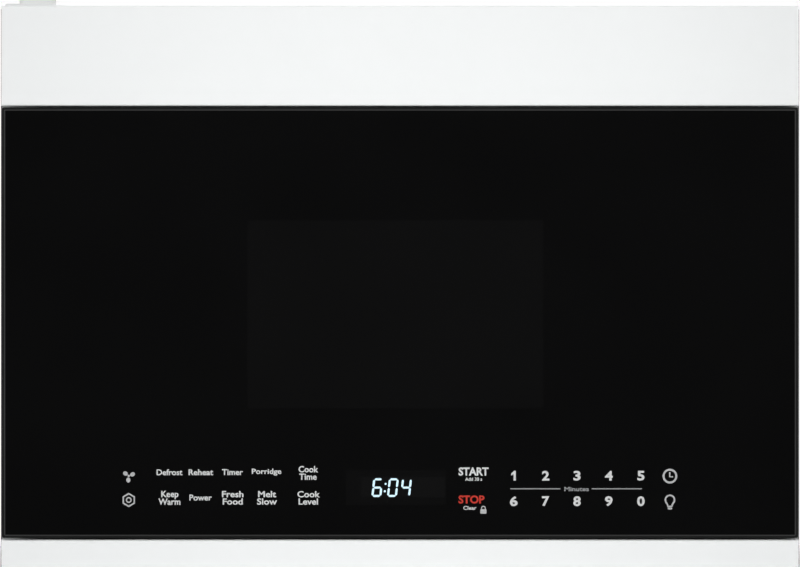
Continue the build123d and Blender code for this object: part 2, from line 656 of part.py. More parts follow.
# ======================================================================================
# Front frame and oven cavity
# ======================================================================================
SLOT_X0 = LATCH_X - HOOK_T / 2 - SLOT_SIDE
SLOT_X1 = LATCH_X + HOOK_T / 2 + SLOT_SIDE
SLOT_DOWN = HOOK_LIP + 2 * SLIDE_GAP
SLOT_UP = HOOK_H + LATCH_LIFT + 2 * SLIDE_GAP
UPPER_TONGUE_LOW = DOOR_HIGH - FRAME_INSET - HINGE_NOTCH + BRACKET_GAP
LOWER_TONGUE_LOW = DOOR_LOW + FRAME_INSET + HINGE_NOTCH - BRACKET_GAP - BRACKET_T
TONGUE_LOWS = (UPPER_TONGUE_LOW, LOWER_TONGUE_LOW)
with BuildPart() as front_frame:
    with BuildSketch(front(FACE)) as front_outline:
        rect(-INNER_HALF, INNER_HALF, BASE_LIP, TOP_INSIDE)
        fillet(front_outline.vertices().group_by(Axis.Y)[-1], WRAP_BEND - SHEET)
    extrude(amount=-SHEET)
    with BuildSketch(front(FACE)) as mouth:
        rect(CAV_L, CAV_R, CAVITY_Z, CAV_TOP)
        fillet(mouth.vertices().group_by(Axis.Y)[-1], CAVITY_ROUND)
    extrude(amount=-SHEET, mode=Mode.SUBTRACT)
    # Air opening behind the charcoal filter.
    with BuildSketch(front(FACE)):
        rect(
            -CHARCOAL_HALF + CHARCOAL_EDGE,
            CHARCOAL_HALF - CHARCOAL_EDGE,
            CHARCOAL_LOW + CHARCOAL_EDGE,
            CHARCOAL_HIGH - CHARCOAL_EDGE,
        )
    extrude(amount=-SHEET, mode=Mode.SUBTRACT)
    # Slots for the latch hooks, the hinge tongues and the grille's tabs.
    with BuildSketch(front(FACE)):
        for hook_z in HOOK_ZS:
            rect(SLOT_X0, SLOT_X1, hook_z - SLOT_DOWN, hook_z + SLOT_UP)
        for tongue_low in TONGUE_LOWS:
            rect(
                HINGE_X - TONGUE_W / 2 - TOUCH,
                HINGE_X + TONGUE_W / 2 + TOUCH,
                tongue_low - TOUCH,
                tongue_low + BRACKET_T + TOUCH,
            )
        for tab_x in GRILLE_TABS:
            rect(
                tab_x - TAB_W / 2 - TOUCH,
                tab_x + TAB_W / 2 + TOUCH,
                GRILLE_LOW - TOUCH,
                GRILLE_LOW + MOULDING_T + TOUCH,
            )
    extrude(amount=-SHEET, mode=Mode.SUBTRACT)
front_frame.part.label = "front_frame"
export_step(front_frame.part, "parts/front_frame.step")

LAMP_SLOT_COUNT = 6
LAMP_SLOT_PITCH = 6.0
LAMP_SLOT_W = 2.6
LAMP_SLOT_H = 22.0
CAV_LAMP_Y = FRAME_REAR + 50.0
CAV_LAMP_Z = CAV_TOP - 36.0
with BuildPart() as cavity_wrap:
    with BuildSketch(front(FRAME_REAR)) as cavity_outside:
        rect(CAV_L - CAVITY_T, CAV_R + CAVITY_T, CAVITY_Z, CAV_TOP + CAVITY_T)
        fillet(
            cavity_outside.vertices().group_by(Axis.Y)[-1], CAVITY_ROUND + CAVITY_T
        )
    extrude(amount=-CAVITY_D)
    with BuildSketch(front(FRAME_REAR)) as cavity_inside:
        rect(CAV_L, CAV_R, CAVITY_Z, CAV_TOP)
        fillet(cavity_inside.vertices().group_by(Axis.Y)[-1], CAVITY_ROUND)
    extrude(amount=-CAVITY_D, mode=Mode.SUBTRACT)
    # Port for the microwaves and light slots, both in the right wall.
    with BuildSketch(side(CAV_R)):
        rect(MAG_Y - PORT_HALF, MAG_Y + PORT_HALF, PORT_LOW, PORT_LOW + PORT_TALL)
        with Locations((CAV_LAMP_Y, CAV_LAMP_Z)):
            with GridLocations(LAMP_SLOT_PITCH, 0, LAMP_SLOT_COUNT, 1):
                Rectangle(LAMP_SLOT_W, LAMP_SLOT_H)
    extrude(amount=CAVITY_T, mode=Mode.SUBTRACT)
cavity_wrap.part.label = "cavity_wrap"
export_step(cavity_wrap.part, "parts/cavity_wrap.step")

with BuildPart() as cavity_floor:
    with BuildSketch(level(CAVITY_Z - CAVITY_T)):
        rect(CAV_L - CAVITY_T, CAV_R + CAVITY_T, FRAME_REAR, CAV_BACK)
        with Locations((CAVITY_X, CAV_MID_Y)):
            Circle(SHAFT_HOLE_R, mode=Mode.SUBTRACT)
    extrude(amount=CAVITY_T)
cavity_floor.part.label = "cavity_floor"
export_step(cavity_floor.part, "parts/cavity_floor.step")

BACK_SLOT_COUNT = 9
BACK_SLOT_PITCH = 8.0
BACK_SLOT_H = 26.0
with BuildPart() as cavity_back:
    with BuildSketch(front(CAV_BACK)) as rear_wall:
        rect(
            CAV_L - CAVITY_T, CAV_R + CAVITY_T, CAVITY_Z - CAVITY_T, CAV_TOP + CAVITY_T
        )
        fillet(rear_wall.vertices().group_by(Axis.Y)[-1], CAVITY_ROUND + CAVITY_T)
    extrude(amount=-CAVITY_T)
    # Steam vent at the upper left.
    with BuildSketch(front(CAV_BACK)):
        with Locations((CAV_L + CAVITY_W / 6, CAV_TOP - CAVITY_H / 6)):
            with GridLocations(BACK_SLOT_PITCH, 0, BACK_SLOT_COUNT, 1):
                Rectangle(LAMP_SLOT_W, BACK_SLOT_H)
    extrude(amount=-CAVITY_T, mode=Mode.SUBTRACT)
cavity_back.part.label = "cavity_back"
export_step(cavity_back.part, "parts/cavity_back.step")

COVER_LAP = 6.0  # mica cover over the edge of the port
MICA_T = 0.6
with BuildPart() as waveguide_cover:
    with BuildSketch(side(CAV_R - MICA_T)) as mica:
        rect(
            MAG_Y - PORT_HALF - COVER_LAP,
            MAG_Y + PORT_HALF + COVER_LAP,
            PORT_LOW - COVER_LAP,
            PORT_LOW + PORT_TALL + COVER_LAP,
        )
        fillet(mica.vertices(), COVER_LAP / 2)
    extrude(amount=MICA_T)
waveguide_cover.part.label = "waveguide_cover"
export_step(waveguide_cover.part, "parts/waveguide_cover.step")

LAMP_BODY = 15.0
BULB_R = 7.0
with BuildPart() as cavity_lamp:
    with BuildSketch(side(BAY_L)):
        with Locations((CAV_LAMP_Y, CAV_LAMP_Z)):
            Rectangle(2.4 * LAMP_BODY, 2 * LAMP_BODY)
            Rectangle(2.2 * LAMP_BODY, 1.8 * LAMP_BODY, mode=Mode.SUBTRACT)
    extrude(amount=LAMP_BODY)
    with BuildSketch(side(BAY_L + LAMP_BODY)):
        with Locations((CAV_LAMP_Y, CAV_LAMP_Z)):
            Rectangle(2.4 * LAMP_BODY, 2 * LAMP_BODY)
    extrude(amount=SHEET)
    with BuildSketch(side(BAY_L + SHEET)):
        with Locations((CAV_LAMP_Y, CAV_LAMP_Z)):
            Circle(BULB_R)
    extrude(amount=LAMP_BODY)
cavity_lamp.part.label = "cavity_lamp"
export_step(cavity_lamp.part, "parts/cavity_lamp.step")

# ======================================================================================
# Turntable
# ======================================================================================
ROLLER_Z = CAVITY_Z + ROLL_GAP + ROLLER_R
TRAY_LOW = ROLLER_Z + ROLLER_R + ROLL_GAP
TT_MOTOR_R = 25.0
TT_MOTOR_H = 17.0
STEM_DEPTH = 9.0
UNDER_FLOOR = CAVITY_Z - CAVITY_T
EAR_LONG = 66.0
EAR_W = 12.0
with BuildPart() as turntable_motor:
    with BuildSketch(level(UNDER_FLOOR)):
        with Locations((CAVITY_X, CAV_MID_Y)):
            Circle(TT_MOTOR_R)
    extrude(amount=-TT_MOTOR_H)
    with BuildSketch(level(UNDER_FLOOR)):
        with Locations((CAVITY_X, CAV_MID_Y)):
            SlotOverall(EAR_LONG, EAR_W)
    extrude(amount=-SHEET)
    with BuildSketch(level(UNDER_FLOOR)):
        with Locations((CAVITY_X, CAV_MID_Y)):
            Circle(COUPLER_STEM_R + RUN_FIT)
    extrude(amount=-STEM_DEPTH - RUN_FIT, mode=Mode.SUBTRACT)
turntable_motor.part.label = "turntable_motor"
export_step(turntable_motor.part, "parts/turntable_motor.step")

# Three-armed coupler on a stem that reaches into the motor.
COUPLER_TOP = TRAY_LOW - COUPLER_GAP
COUPLER_HEAD = 9.0
ARM_END_R = 5.5
HUB_R = 10.0
ARM_ANGLES = (90, 210, 330)
with BuildPart() as turntable_coupler:
    with BuildSketch(level(UNDER_FLOOR - STEM_DEPTH)):
        with Locations((CAVITY_X, CAV_MID_Y)):
            Circle(COUPLER_STEM_R)
    extrude(amount=COUPLER_TOP - UNDER_FLOOR + STEM_DEPTH)
    with BuildSketch(level(COUPLER_TOP - COUPLER_HEAD)):
        with Locations((CAVITY_X, CAV_MID_Y)):
            Circle(HUB_R)
            for angle in ARM_ANGLES:
                SlotCenterPoint(
                    center=(
                        COUPLER_ARM / 2 * math.cos(math.radians(angle)),
                        COUPLER_ARM / 2 * math.sin(math.radians(angle)),
                    ),
                    point=(
                        COUPLER_ARM * math.cos(math.radians(angle)),
                        COUPLER_ARM * math.sin(math.radians(angle)),
                    ),
                    height=2 * ARM_END_R,
                )
    extrude(amount=COUPLER_HEAD)
    chamfer(turntable_coupler.faces().sort_by(Axis.Z)[-1].edges(), 0.8)
turntable_coupler.part.label = "turntable_coupler"
export_step(turntable_coupler.part, "parts/turntable_coupler.step")

# Glass tray: a revolved dish with three drive lugs between the coupler's arms.
LUG_R = 17.0
LUG_SIZE = 9.0
LUG_DROP = 6.0
RIM_SLOPE = 14.0
with BuildPart() as glass_tray:
    with BuildSketch(Plane.XZ) as dish:
        with BuildLine():
            Polyline(
                (0, TRAY_LOW),
                (TRAY_R - RIM_SLOPE, TRAY_LOW),
                (TRAY_R, TRAY_LOW + TRAY_RIM - TRAY_T / 2),
                (TRAY_R, TRAY_LOW + TRAY_RIM),
                (TRAY_R - TRAY_T, TRAY_LOW + TRAY_RIM),
                (TRAY_R - RIM_SLOPE - TRAY_T / 2, TRAY_LOW + TRAY_T),
                (0, TRAY_LOW + TRAY_T),
                close=True,
            )
        make_face()
    revolve(axis=Axis.Z)
    with BuildSketch(level(TRAY_LOW + SHEET)):
        with PolarLocations(LUG_R, len(ARM_ANGLES), start_angle=ARM_ANGLES[0] + 60):
            Rectangle(LUG_SIZE, LUG_SIZE)
    extrude(amount=-(LUG_DROP + SHEET))
# The dish is turned about its own axis and then set over the coupler.
glass_tray.part.locate(Location((CAVITY_X, CAV_MID_Y, 0)))
glass_tray.part.label = "glass_tray"
export_step(glass_tray.part, "parts/glass_tray.step")

# Roller ring with three axles, and a roller on each.
RING_OUT = TRACK_R - ROLLER_W / 2 - SLIDE_GAP
AXLE_END = TRACK_R + ROLLER_W / 2 + SLIDE_GAP
CAP_T = 1.2
CAP_R = 3.0
ROLLER_ANGLES = (30, 150, 270)


def spoke(angle):
    """Plane on the turntable's axis that faces outwards along one axle."""
    outwards = (math.cos(math.radians(angle)), math.sin(math.radians(angle)), 0)
    sideways = (-outwards[1], outwards[0], 0)
    return Plane(
        origin=(CAVITY_X, CAV_MID_Y, ROLLER_Z), x_dir=sideways, z_dir=outwards
    )


with BuildPart() as roller_ring:
    with BuildSketch(level(ROLLER_Z - RING_H / 2)):
        with Locations((CAVITY_X, CAV_MID_Y)):
            Circle(RING_OUT)
            Circle(RING_OUT - RING_T, mode=Mode.SUBTRACT)
    extrude(amount=RING_H)
    for angle in ROLLER_ANGLES:
        with BuildSketch(spoke(angle).offset(RING_OUT - RING_T / 2)):
            Circle(AXLE_R)
        extrude(amount=AXLE_END - RING_OUT + RING_T / 2 + CAP_T)
        with BuildSketch(spoke(angle).offset(AXLE_END)):
            Circle(CAP_R)
        extrude(amount=CAP_T)
roller_ring.part.label = "roller_ring"
export_step(roller_ring.part, "parts/roller_ring.step")

for number, angle in enumerate(ROLLER_ANGLES, start=1):
    with BuildPart() as roller:
        with BuildSketch(spoke(angle).offset(TRACK_R - ROLLER_W / 2)):
            Circle(ROLLER_R)
            Circle(AXLE_R + RUN_FIT, mode=Mode.SUBTRACT)
        extrude(amount=ROLLER_W)
        chamfer(
            roller.edges().filter_by(GeomType.CIRCLE).sort_by(SortBy.RADIUS)[-2:], 0.8
        )
    roller.part.label = f"roller_{number}"
    export_step(roller.part, f"parts/roller_{number}.step")

# ======================================================================================
# Door hinges
# ======================================================================================
BRACKET_REACH = 32.0  # height of the flange behind the front frame
FLANGE_SIDE = 2.5  # flange from the cabinet's side
FLANGE_BEYOND = 28.0  # flange to the right of the pin
FLANGE_LEFT = -INNER_HALF + FLANGE_SIDE
FLANGE_RIGHT = HINGE_X + FLANGE_BEYOND
for name, tongue_low, up in (
    ("hinge_upper", UPPER_TONGUE_LOW, -1),
    ("hinge_lower", LOWER_TONGUE_LOW, 1),
):
    with BuildPart() as bracket:
        with BuildSketch(level(tongue_low)):
            with Locations((HINGE_X, HINGE_Y)):
                Circle(TONGUE_W / 2)
            rect(
                HINGE_X - TONGUE_W / 2,
                HINGE_X + TONGUE_W / 2,
                HINGE_Y,
                FRAME_REAR + BRACKET_T,
            )
        extrude(amount=BRACKET_T)
        # The flange turns away from the door's corner, behind the front frame.
        flange_edge = tongue_low + BRACKET_T if up < 0 else tongue_low
        flange_end = flange_edge + up * BRACKET_REACH
        with BuildSketch(front(FRAME_REAR)):
            rect(
                FLANGE_LEFT,
                FLANGE_RIGHT,
                min(flange_edge, flange_end),
                max(flange_edge, flange_end),
            )
        extrude(amount=-BRACKET_T)
        pin_root = tongue_low if up < 0 else tongue_low + BRACKET_T
        with BuildSketch(level(pin_root)):
            with Locations((HINGE_X, HINGE_Y)):
                Circle(PIN_R)
        extrude(amount=up * PIN_L)
    bracket.part.label = name
    export_step(bracket.part, f"parts/{name}.step")

# ======================================================================================
# Door
# ======================================================================================
with BuildPart() as door_glass:
    with BuildSketch(front(GLASS_REAR)):
        rect(-GLASS_HALF, GLASS_HALF, DOOR_LOW, DOOR_HIGH)
    extrude(amount=GLASS_T)
    chamfer(
        door_glass.faces().sort_by(Axis.Y)[0].edges(),
        length=GLASS_BEVEL / 2,
        length2=GLASS_BEVEL,
        reference=door_glass.faces().sort_by(Axis.Y)[0],
    )
door_glass.part.label = "door_glass"
export_step(door_glass.part, "parts/door_glass.step")

FRAME_HALF = GLASS_HALF - FRAME_INSET
FRAME_LOW = DOOR_LOW + FRAME_INSET
FRAME_HIGH = DOOR_HIGH - FRAME_INSET
FRAME_BACK = DOOR_REAR - REAR_COVER_T
FRAME_INNER = GLASS_REAR + FRAME_WALL
WINDOW_MARGIN = 6.0
GRIP_TALL = 82.0
GRIP_RAISE = 1.0  # above the middle of the door
GRIP_LOW = DOOR_MID + GRIP_RAISE - GRIP_TALL / 2
GRIP_HIGH = GRIP_LOW + GRIP_TALL
GRIP_DEEP = 20.0
BOSS_L = PIN_L
NOTCH_X = HINGE_X + TONGUE_W / 2 + 2 * BRACKET_GAP
NOTCH_Y = HINGE_Y - TONGUE_W / 2 - 3 * BRACKET_GAP
RAIL_SHORT = 42.0  # rails shorter than the latch bar, at each end
RAIL_LOW = LATCH_LOW + RAIL_SHORT
RAIL_HIGH = LATCH_HIGH - RAIL_SHORT
RAIL_T = 3.0
BAR_FRONT = FRAME_INNER + SLIDE_GAP
BAR_DEEP = 22.0
BAR_BACK = BAR_FRONT + BAR_DEEP
SPRING_SPACE = 20.0
STOP_Z = LATCH_HIGH + SPRING_SPACE
WINDOW_L = WINDOW_X - WINDOW_W / 2
WINDOW_R = WINDOW_X + WINDOW_W / 2
WINDOW_LOW = WINDOW_Z - WINDOW_H / 2
WINDOW_HIGH = WINDOW_Z + WINDOW_H / 2
with BuildPart() as door_frame:
    with BuildSketch(level(FRAME_LOW)) as frame_plan:
        rect(-FRAME_HALF, FRAME_HALF, GLASS_REAR, FRAME_BACK)
        fillet(
            frame_plan.vertices().group_by(Axis.X)[0].sort_by(Axis.Y)[-1], FRAME_CORNER
        )
    extrude(amount=FRAME_HIGH - FRAME_LOW)
    block(
        (-FRAME_HALF + FRAME_WALL, FRAME_HALF - FRAME_WALL),
        (FRAME_INNER, FRAME_BACK),
        (FRAME_LOW + FRAME_WALL, FRAME_HIGH - FRAME_WALL),
        mode=Mode.SUBTRACT,
    )
    # Light way from the glass to the screen, with a wall round it.
    with BuildSketch(front(GLASS_REAR)):
        rect(
            WINDOW_L - WINDOW_MARGIN - FRAME_WALL,
            WINDOW_R + WINDOW_MARGIN + FRAME_WALL,
            WINDOW_LOW - WINDOW_MARGIN - FRAME_WALL,
            WINDOW_HIGH + WINDOW_MARGIN + FRAME_WALL,
        )
    extrude(amount=-5 * FRAME_WALL)
    with BuildSketch(front(GLASS_REAR)):
        rect(
            WINDOW_L - WINDOW_MARGIN,
            WINDOW_R + WINDOW_MARGIN,
            WINDOW_LOW - WINDOW_MARGIN,
            WINDOW_HIGH + WINDOW_MARGIN,
        )
        rect(
            -BOARD_W / 2 - SHEET, BOARD_W / 2 + SHEET, BOARD_LOW - SHEET, BOARD_HIGH + SHEET
        )
    extrude(amount=-5 * FRAME_WALL, mode=Mode.SUBTRACT)
    # Finger pocket in the right side, behind the edge of the glass.
    block(
        (FRAME_HALF - GRIP_DEEP - FRAME_WALL, FRAME_HALF),
        (GLASS_REAR, FRAME_BACK - 2 * FRAME_WALL),
        (GRIP_LOW - FRAME_WALL, GRIP_HIGH + FRAME_WALL),
    )
    with BuildSketch(front(GLASS_REAR + FRAME_WALL / 2)) as pocket:
        rect(FRAME_HALF - GRIP_DEEP, FRAME_HALF + FRAME_WALL, GRIP_LOW, GRIP_HIGH)
        fillet(pocket.vertices().group_by(Axis.X)[0], GRIP_DEEP / 2)
    extrude(
        amount=-(FRAME_BACK - GLASS_REAR - 4 * FRAME_WALL), mode=Mode.SUBTRACT
    )
    # Bosses for the hinge pins, and the notches that the brackets swing in.
    for low, high in (
        (FRAME_LOW, FRAME_LOW + HINGE_NOTCH + BOSS_L),
        (FRAME_HIGH - HINGE_NOTCH - BOSS_L, FRAME_HIGH),
    ):
        with BuildSketch(level(low)):
            with Locations((HINGE_X, HINGE_Y)):
                Circle(BOSS_R)
            rect(-FRAME_HALF, HINGE_X, HINGE_Y - BOSS_R, HINGE_Y + BOSS_R / 2)
        extrude(amount=high - low)
        with BuildSketch(level(low)):
            with Locations((HINGE_X, HINGE_Y)):
                Circle(PIN_R + RUN_FIT)
        extrude(amount=high - low, mode=Mode.SUBTRACT)
    for low, high in (
        (FRAME_LOW, FRAME_LOW + HINGE_NOTCH),
        (FRAME_HIGH - HINGE_NOTCH, FRAME_HIGH),
    ):
        block(
            (-FRAME_HALF, NOTCH_X), (NOTCH_Y, FRAME_BACK), (low, high), mode=Mode.SUBTRACT
        )
    # Rails beside the latch bar and the stop that its spring bears on.
    for rail_x in (
        LATCH_X - LATCH_W / 2 - SLIDE_GAP - RAIL_T,
        LATCH_X + LATCH_W / 2 + SLIDE_GAP,
    ):
        block((rail_x, rail_x + RAIL_T), (GLASS_REAR, BAR_BACK), (RAIL_LOW, RAIL_HIGH))
    block(
        (LATCH_X - LATCH_W, LATCH_X + LATCH_W),
        (GLASS_REAR, BAR_BACK),
        (STOP_Z, STOP_Z + RAIL_T),
    )
door_frame.part.label = "door_frame"
export_step(door_frame.part, "parts/door_frame.step")

with BuildPart() as touch_board:
    with BuildSketch(front(GLASS_REAR)):
        rect(-BOARD_W / 2, BOARD_W / 2, BOARD_LOW, BOARD_HIGH)
        with Locations((DISPLAY_X, DISPLAY_Z)):
            Rectangle(DISPLAY_W, DISPLAY_H, mode=Mode.SUBTRACT)
    extrude(amount=-BOARD_T)
touch_board.part.label = "touch_board"
export_step(touch_board.part, "parts/touch_board.step")

with BuildPart() as display_module:
    with BuildSketch(front(GLASS_REAR)):
        with Locations((DISPLAY_X, DISPLAY_Z)):
            Rectangle(DISPLAY_W, DISPLAY_H)
    extrude(amount=-DISPLAY_T)
display_module.part.label = "display_module"
export_step(display_module.part, "parts/display_module.step")

# Choke pan: a steel plate that faces the cavity, with a slotted wall round it.
CHOKE_LAP = 32.0  # choke beyond the sides of the cavity
CHOKE_FOOT = 22.2  # choke above the door frame's lower wall
CHOKE_HEAD = 6.2  # choke below the door frame's upper wall
CHOKE_L = CAV_L - CHOKE_LAP
CHOKE_R = CAV_R + CHOKE_LAP
CHOKE_LOW = FRAME_LOW + FRAME_WALL + CHOKE_FOOT
CHOKE_HIGH = FRAME_HIGH - FRAME_WALL - CHOKE_HEAD
CHOKE_T = 1.2
CHOKE_DEEP = 18.0
TOOTH_PITCH = 20.0
TOOTH_GAP = 4.0
with BuildPart() as choke_pan:
    with BuildSketch(front(FRAME_BACK - CHOKE_T)):
        rect(CHOKE_L, CHOKE_R, CHOKE_LOW, CHOKE_HIGH)
        rect(WINDOW_L, WINDOW_R, WINDOW_LOW, WINDOW_HIGH, mode=Mode.SUBTRACT)
    extrude(amount=-CHOKE_T)
    with BuildSketch(front(FRAME_BACK - CHOKE_DEEP)):
        rect(CHOKE_L, CHOKE_R, CHOKE_LOW, CHOKE_HIGH)
        rect(
            CHOKE_L + CHOKE_T,
            CHOKE_R - CHOKE_T,
            CHOKE_LOW + CHOKE_T,
            CHOKE_HIGH - CHOKE_T,
            mode=Mode.SUBTRACT,
        )
    extrude(amount=-(CHOKE_DEEP - CHOKE_T))
    # Slots that part the wall into the teeth of the choke.
    CHOKE_X = (CHOKE_L + CHOKE_R) / 2
    CHOKE_Z = (CHOKE_LOW + CHOKE_HIGH) / 2
    TEETH_WIDE = int((CHOKE_R - CHOKE_L) / TOOTH_PITCH) - 1
    TEETH_TALL = int((CHOKE_HIGH - CHOKE_LOW) / TOOTH_PITCH) - 1
    with BuildSketch(front(FRAME_BACK - CHOKE_DEEP)):
        with Locations((CHOKE_X, CHOKE_Z)):
            with GridLocations(TOOTH_PITCH, 0, TEETH_WIDE, 1):
                Rectangle(TOOTH_GAP, CHOKE_HIGH - CHOKE_LOW)
            with GridLocations(0, TOOTH_PITCH, 1, TEETH_TALL):
                Rectangle(CHOKE_R - CHOKE_L, TOOTH_GAP)
    extrude(amount=-(CHOKE_DEEP - 4 * CHOKE_T), mode=Mode.SUBTRACT)
choke_pan.part.label = "choke_pan"
export_step(choke_pan.part, "parts/choke_pan.step")

SCREEN_LAP = 5.0
SCREEN_T = 0.6
with BuildPart() as door_screen:
    with BuildSketch(front(FRAME_BACK - CHOKE_T - SCREEN_T)):
        rect(
            WINDOW_L - SCREEN_LAP,
            WINDOW_R + SCREEN_LAP,
            WINDOW_LOW - SCREEN_LAP,
            WINDOW_HIGH + SCREEN_LAP,
        )
    extrude(amount=-SCREEN_T)
door_screen.part.label = "door_screen"
export_step(door_screen.part, "parts/door_screen.step")

PANE_MARGIN = 16.0
PANE_T = 1.6
REAR_LEFT = HINGE_X + PIN_R / 2
REAR_INSET = 2.0
REAR_ROUND = 6.0
with BuildPart() as choke_cover:
    with BuildSketch(front(FRAME_BACK)) as rear_outline:
        rect(
            REAR_LEFT, FRAME_HALF - REAR_INSET / 4, FRAME_LOW + REAR_INSET / 2,
            FRAME_HIGH - REAR_INSET / 2,
        )
        fillet(rear_outline.vertices(), REAR_ROUND)
        rect(
            WINDOW_L - PANE_MARGIN,
            WINDOW_R + PANE_MARGIN,
            WINDOW_LOW - PANE_MARGIN,
            WINDOW_HIGH + PANE_MARGIN,
            mode=Mode.SUBTRACT,
        )
        # Notches beside the hinge brackets, and slots for the hooks.
        rect(REAR_LEFT, NOTCH_X, FRAME_LOW, FRAME_LOW + HINGE_NOTCH, mode=Mode.SUBTRACT)
        rect(REAR_LEFT, NOTCH_X, FRAME_HIGH - HINGE_NOTCH, FRAME_HIGH, mode=Mode.SUBTRACT)
        for hook_z in HOOK_ZS:
            rect(
                SLOT_X0,
                SLOT_X1,
                hook_z - SLOT_DOWN,
                hook_z + SLOT_UP,
                mode=Mode.SUBTRACT,
            )
    extrude(amount=-REAR_COVER_T)
choke_cover.part.label = "choke_cover"
export_step(choke_cover.part, "parts/choke_cover.step")

with BuildPart() as inner_window:
    with BuildSketch(front(FRAME_BACK)):
        rect(
            WINDOW_L - PANE_MARGIN + TOUCH,
            WINDOW_R + PANE_MARGIN - TOUCH,
            WINDOW_LOW - PANE_MARGIN + TOUCH,
            WINDOW_HIGH + PANE_MARGIN - TOUCH,
        )
    extrude(amount=-PANE_T)
inner_window.part.label = "inner_window"
export_step(inner_window.part, "parts/inner_window.step")

# ======================================================================================
# Latch and interlock
# ======================================================================================
HOOK_TIP = DOOR_REAR + HOOK_REACH
LIP_L = 10.0
with BuildPart() as latch_bar:
    block(
        (LATCH_X - LATCH_W / 2, LATCH_X + LATCH_W / 2),
        (BAR_FRONT, BAR_BACK),
        (LATCH_LOW, LATCH_HIGH),
    )
    for hook_z in HOOK_ZS:
        with BuildSketch(side(LATCH_X - HOOK_T / 2)):
            with BuildLine():
                Polyline(
                    (BAR_BACK - SHEET, hook_z),
                    (HOOK_TIP - LIP_L, hook_z),
                    (HOOK_TIP - LIP_L, hook_z - HOOK_LIP),
                    (HOOK_TIP - LIP_L / 2, hook_z - HOOK_LIP),
                    (HOOK_TIP, hook_z + HOOK_LIP / 2),
                    (HOOK_TIP, hook_z + HOOK_H),
                    (BAR_BACK - SHEET, hook_z + HOOK_H),
                    close=True,
                )
            make_face()
        extrude(amount=HOOK_T)
latch_bar.part.label = "latch_bar"
export_step(latch_bar.part, "parts/latch_bar.step")

SPRING_Y = (BAR_FRONT + BAR_BACK) / 2
SPRING_L = STOP_Z - LATCH_HIGH
SPRING_FOOT = (LATCH_X, SPRING_Y, LATCH_HIGH + SPRING_WIRE_R)
with BuildPart() as latch_spring:
    with BuildLine(Plane(origin=SPRING_FOOT)):
        coil = Helix(
            pitch=(SPRING_L - 2 * SPRING_WIRE_R) / SPRING_TURNS,
            height=SPRING_L - 2 * SPRING_WIRE_R,
            radius=SPRING_R,
        )
    with BuildSketch(Plane(origin=coil @ 0, z_dir=coil % 0)):
        RegularPolygon(SPRING_WIRE_R, 6)
    sweep(path=coil, is_frenet=True)
latch_spring.part.label = "latch_spring"
export_step(latch_spring.part, "parts/latch_spring.step")

SWITCH_W = 10.0
SWITCH_H = 20.0
SWITCH_D = 16.0
SWITCH_BEHIND = 4.0  # switch behind the hooks' tips
SWITCH_FRONT = HOOK_TIP + SWITCH_BEHIND
HOLDER_T = 2.0
HOLDER_X0 = LATCH_X - SWITCH_W / 2 - HOLDER_T
HOLDER_X1 = LATCH_X + SWITCH_W / 2 + HOLDER_T
SWITCH_BACK = SWITCH_FRONT + SWITCH_D
HOLDER_BELOW = 26.0
HOLDER_ABOVE = 30.0
HOLDER_LOW = HOOK_ZS[0] - HOLDER_BELOW
HOLDER_HIGH = HOOK_ZS[1] + HOLDER_ABOVE
FOOT_X = 22.0
with BuildPart() as interlock_holder:
    # Channel with its back to the rear and a foot flange on the front frame.
    with BuildSketch(level(HOLDER_LOW)):
        rect(HOLDER_X0, HOLDER_X1, SWITCH_BACK, SWITCH_BACK + HOLDER_T)
        rect(HOLDER_X0 - HOLDER_T, HOLDER_X0, FRAME_REAR, SWITCH_BACK + HOLDER_T)
        rect(HOLDER_X0 - FOOT_X, HOLDER_X0, FRAME_REAR, FRAME_REAR + HOLDER_T)
    extrude(amount=HOLDER_HIGH - HOLDER_LOW)
    # Ledges below the hooks, shelves that the switches sit on.
    for hook_z in HOOK_ZS:
        ledge = hook_z - HOOK_LIP - LEDGE_GAP
        block(
            (HOLDER_X0, HOLDER_X1),
            (FRAME_REAR, HOOK_TIP - LIP_L / 2),
            (ledge - HOLDER_T, ledge),
        )
        switch_low = hook_z + HOOK_H / 2 - SWITCH_H / 2
        block(
            (HOLDER_X0, HOLDER_X1),
            (SWITCH_FRONT, SWITCH_BACK),
            (switch_low - HOLDER_T, switch_low),
        )
interlock_holder.part.label = "interlock_holder"
export_step(interlock_holder.part, "parts/interlock_holder.step")

PLUNGER_HELD = 3.8  # what stays in the switch when the plunger is out
PLUNGER_IN = PLUNGER_HELD + PLUNGER_TRAVEL
with BuildPart() as interlock_switches:
    for hook_z in HOOK_ZS:
        z_mid = hook_z + HOOK_H / 2
        block(
            (LATCH_X - SWITCH_W / 2, LATCH_X + SWITCH_W / 2),
            (SWITCH_FRONT, SWITCH_BACK),
            (z_mid - SWITCH_H / 2, z_mid + SWITCH_H / 2),
        )
    with BuildSketch(front(SWITCH_FRONT)):
        with Locations(*[(LATCH_X, hook_z + HOOK_H / 2) for hook_z in HOOK_ZS]):
            Circle(PLUNGER_R + RUN_FIT)
    extrude(amount=-(PLUNGER_IN + RUN_FIT), mode=Mode.SUBTRACT)
interlock_switches.part.label = "interlock_switches"
export_step(interlock_switches.part, "parts/interlock_switches.step")

with BuildPart() as switch_plungers:
    with BuildSketch(front(HOOK_TIP + SLIDE_GAP)):
        with Locations(*[(LATCH_X, hook_z + HOOK_H / 2) for hook_z in HOOK_ZS]):
            Circle(PLUNGER_R)
    extrude(amount=-(SWITCH_FRONT + PLUNGER_IN - HOOK_TIP - SLIDE_GAP))
    chamfer(switch_plungers.faces().group_by(Axis.Y)[0].edges(), PLUNGER_R / 4)
switch_plungers.part.label = "switch_plungers"
export_step(switch_plungers.part, "parts/switch_plungers.step")

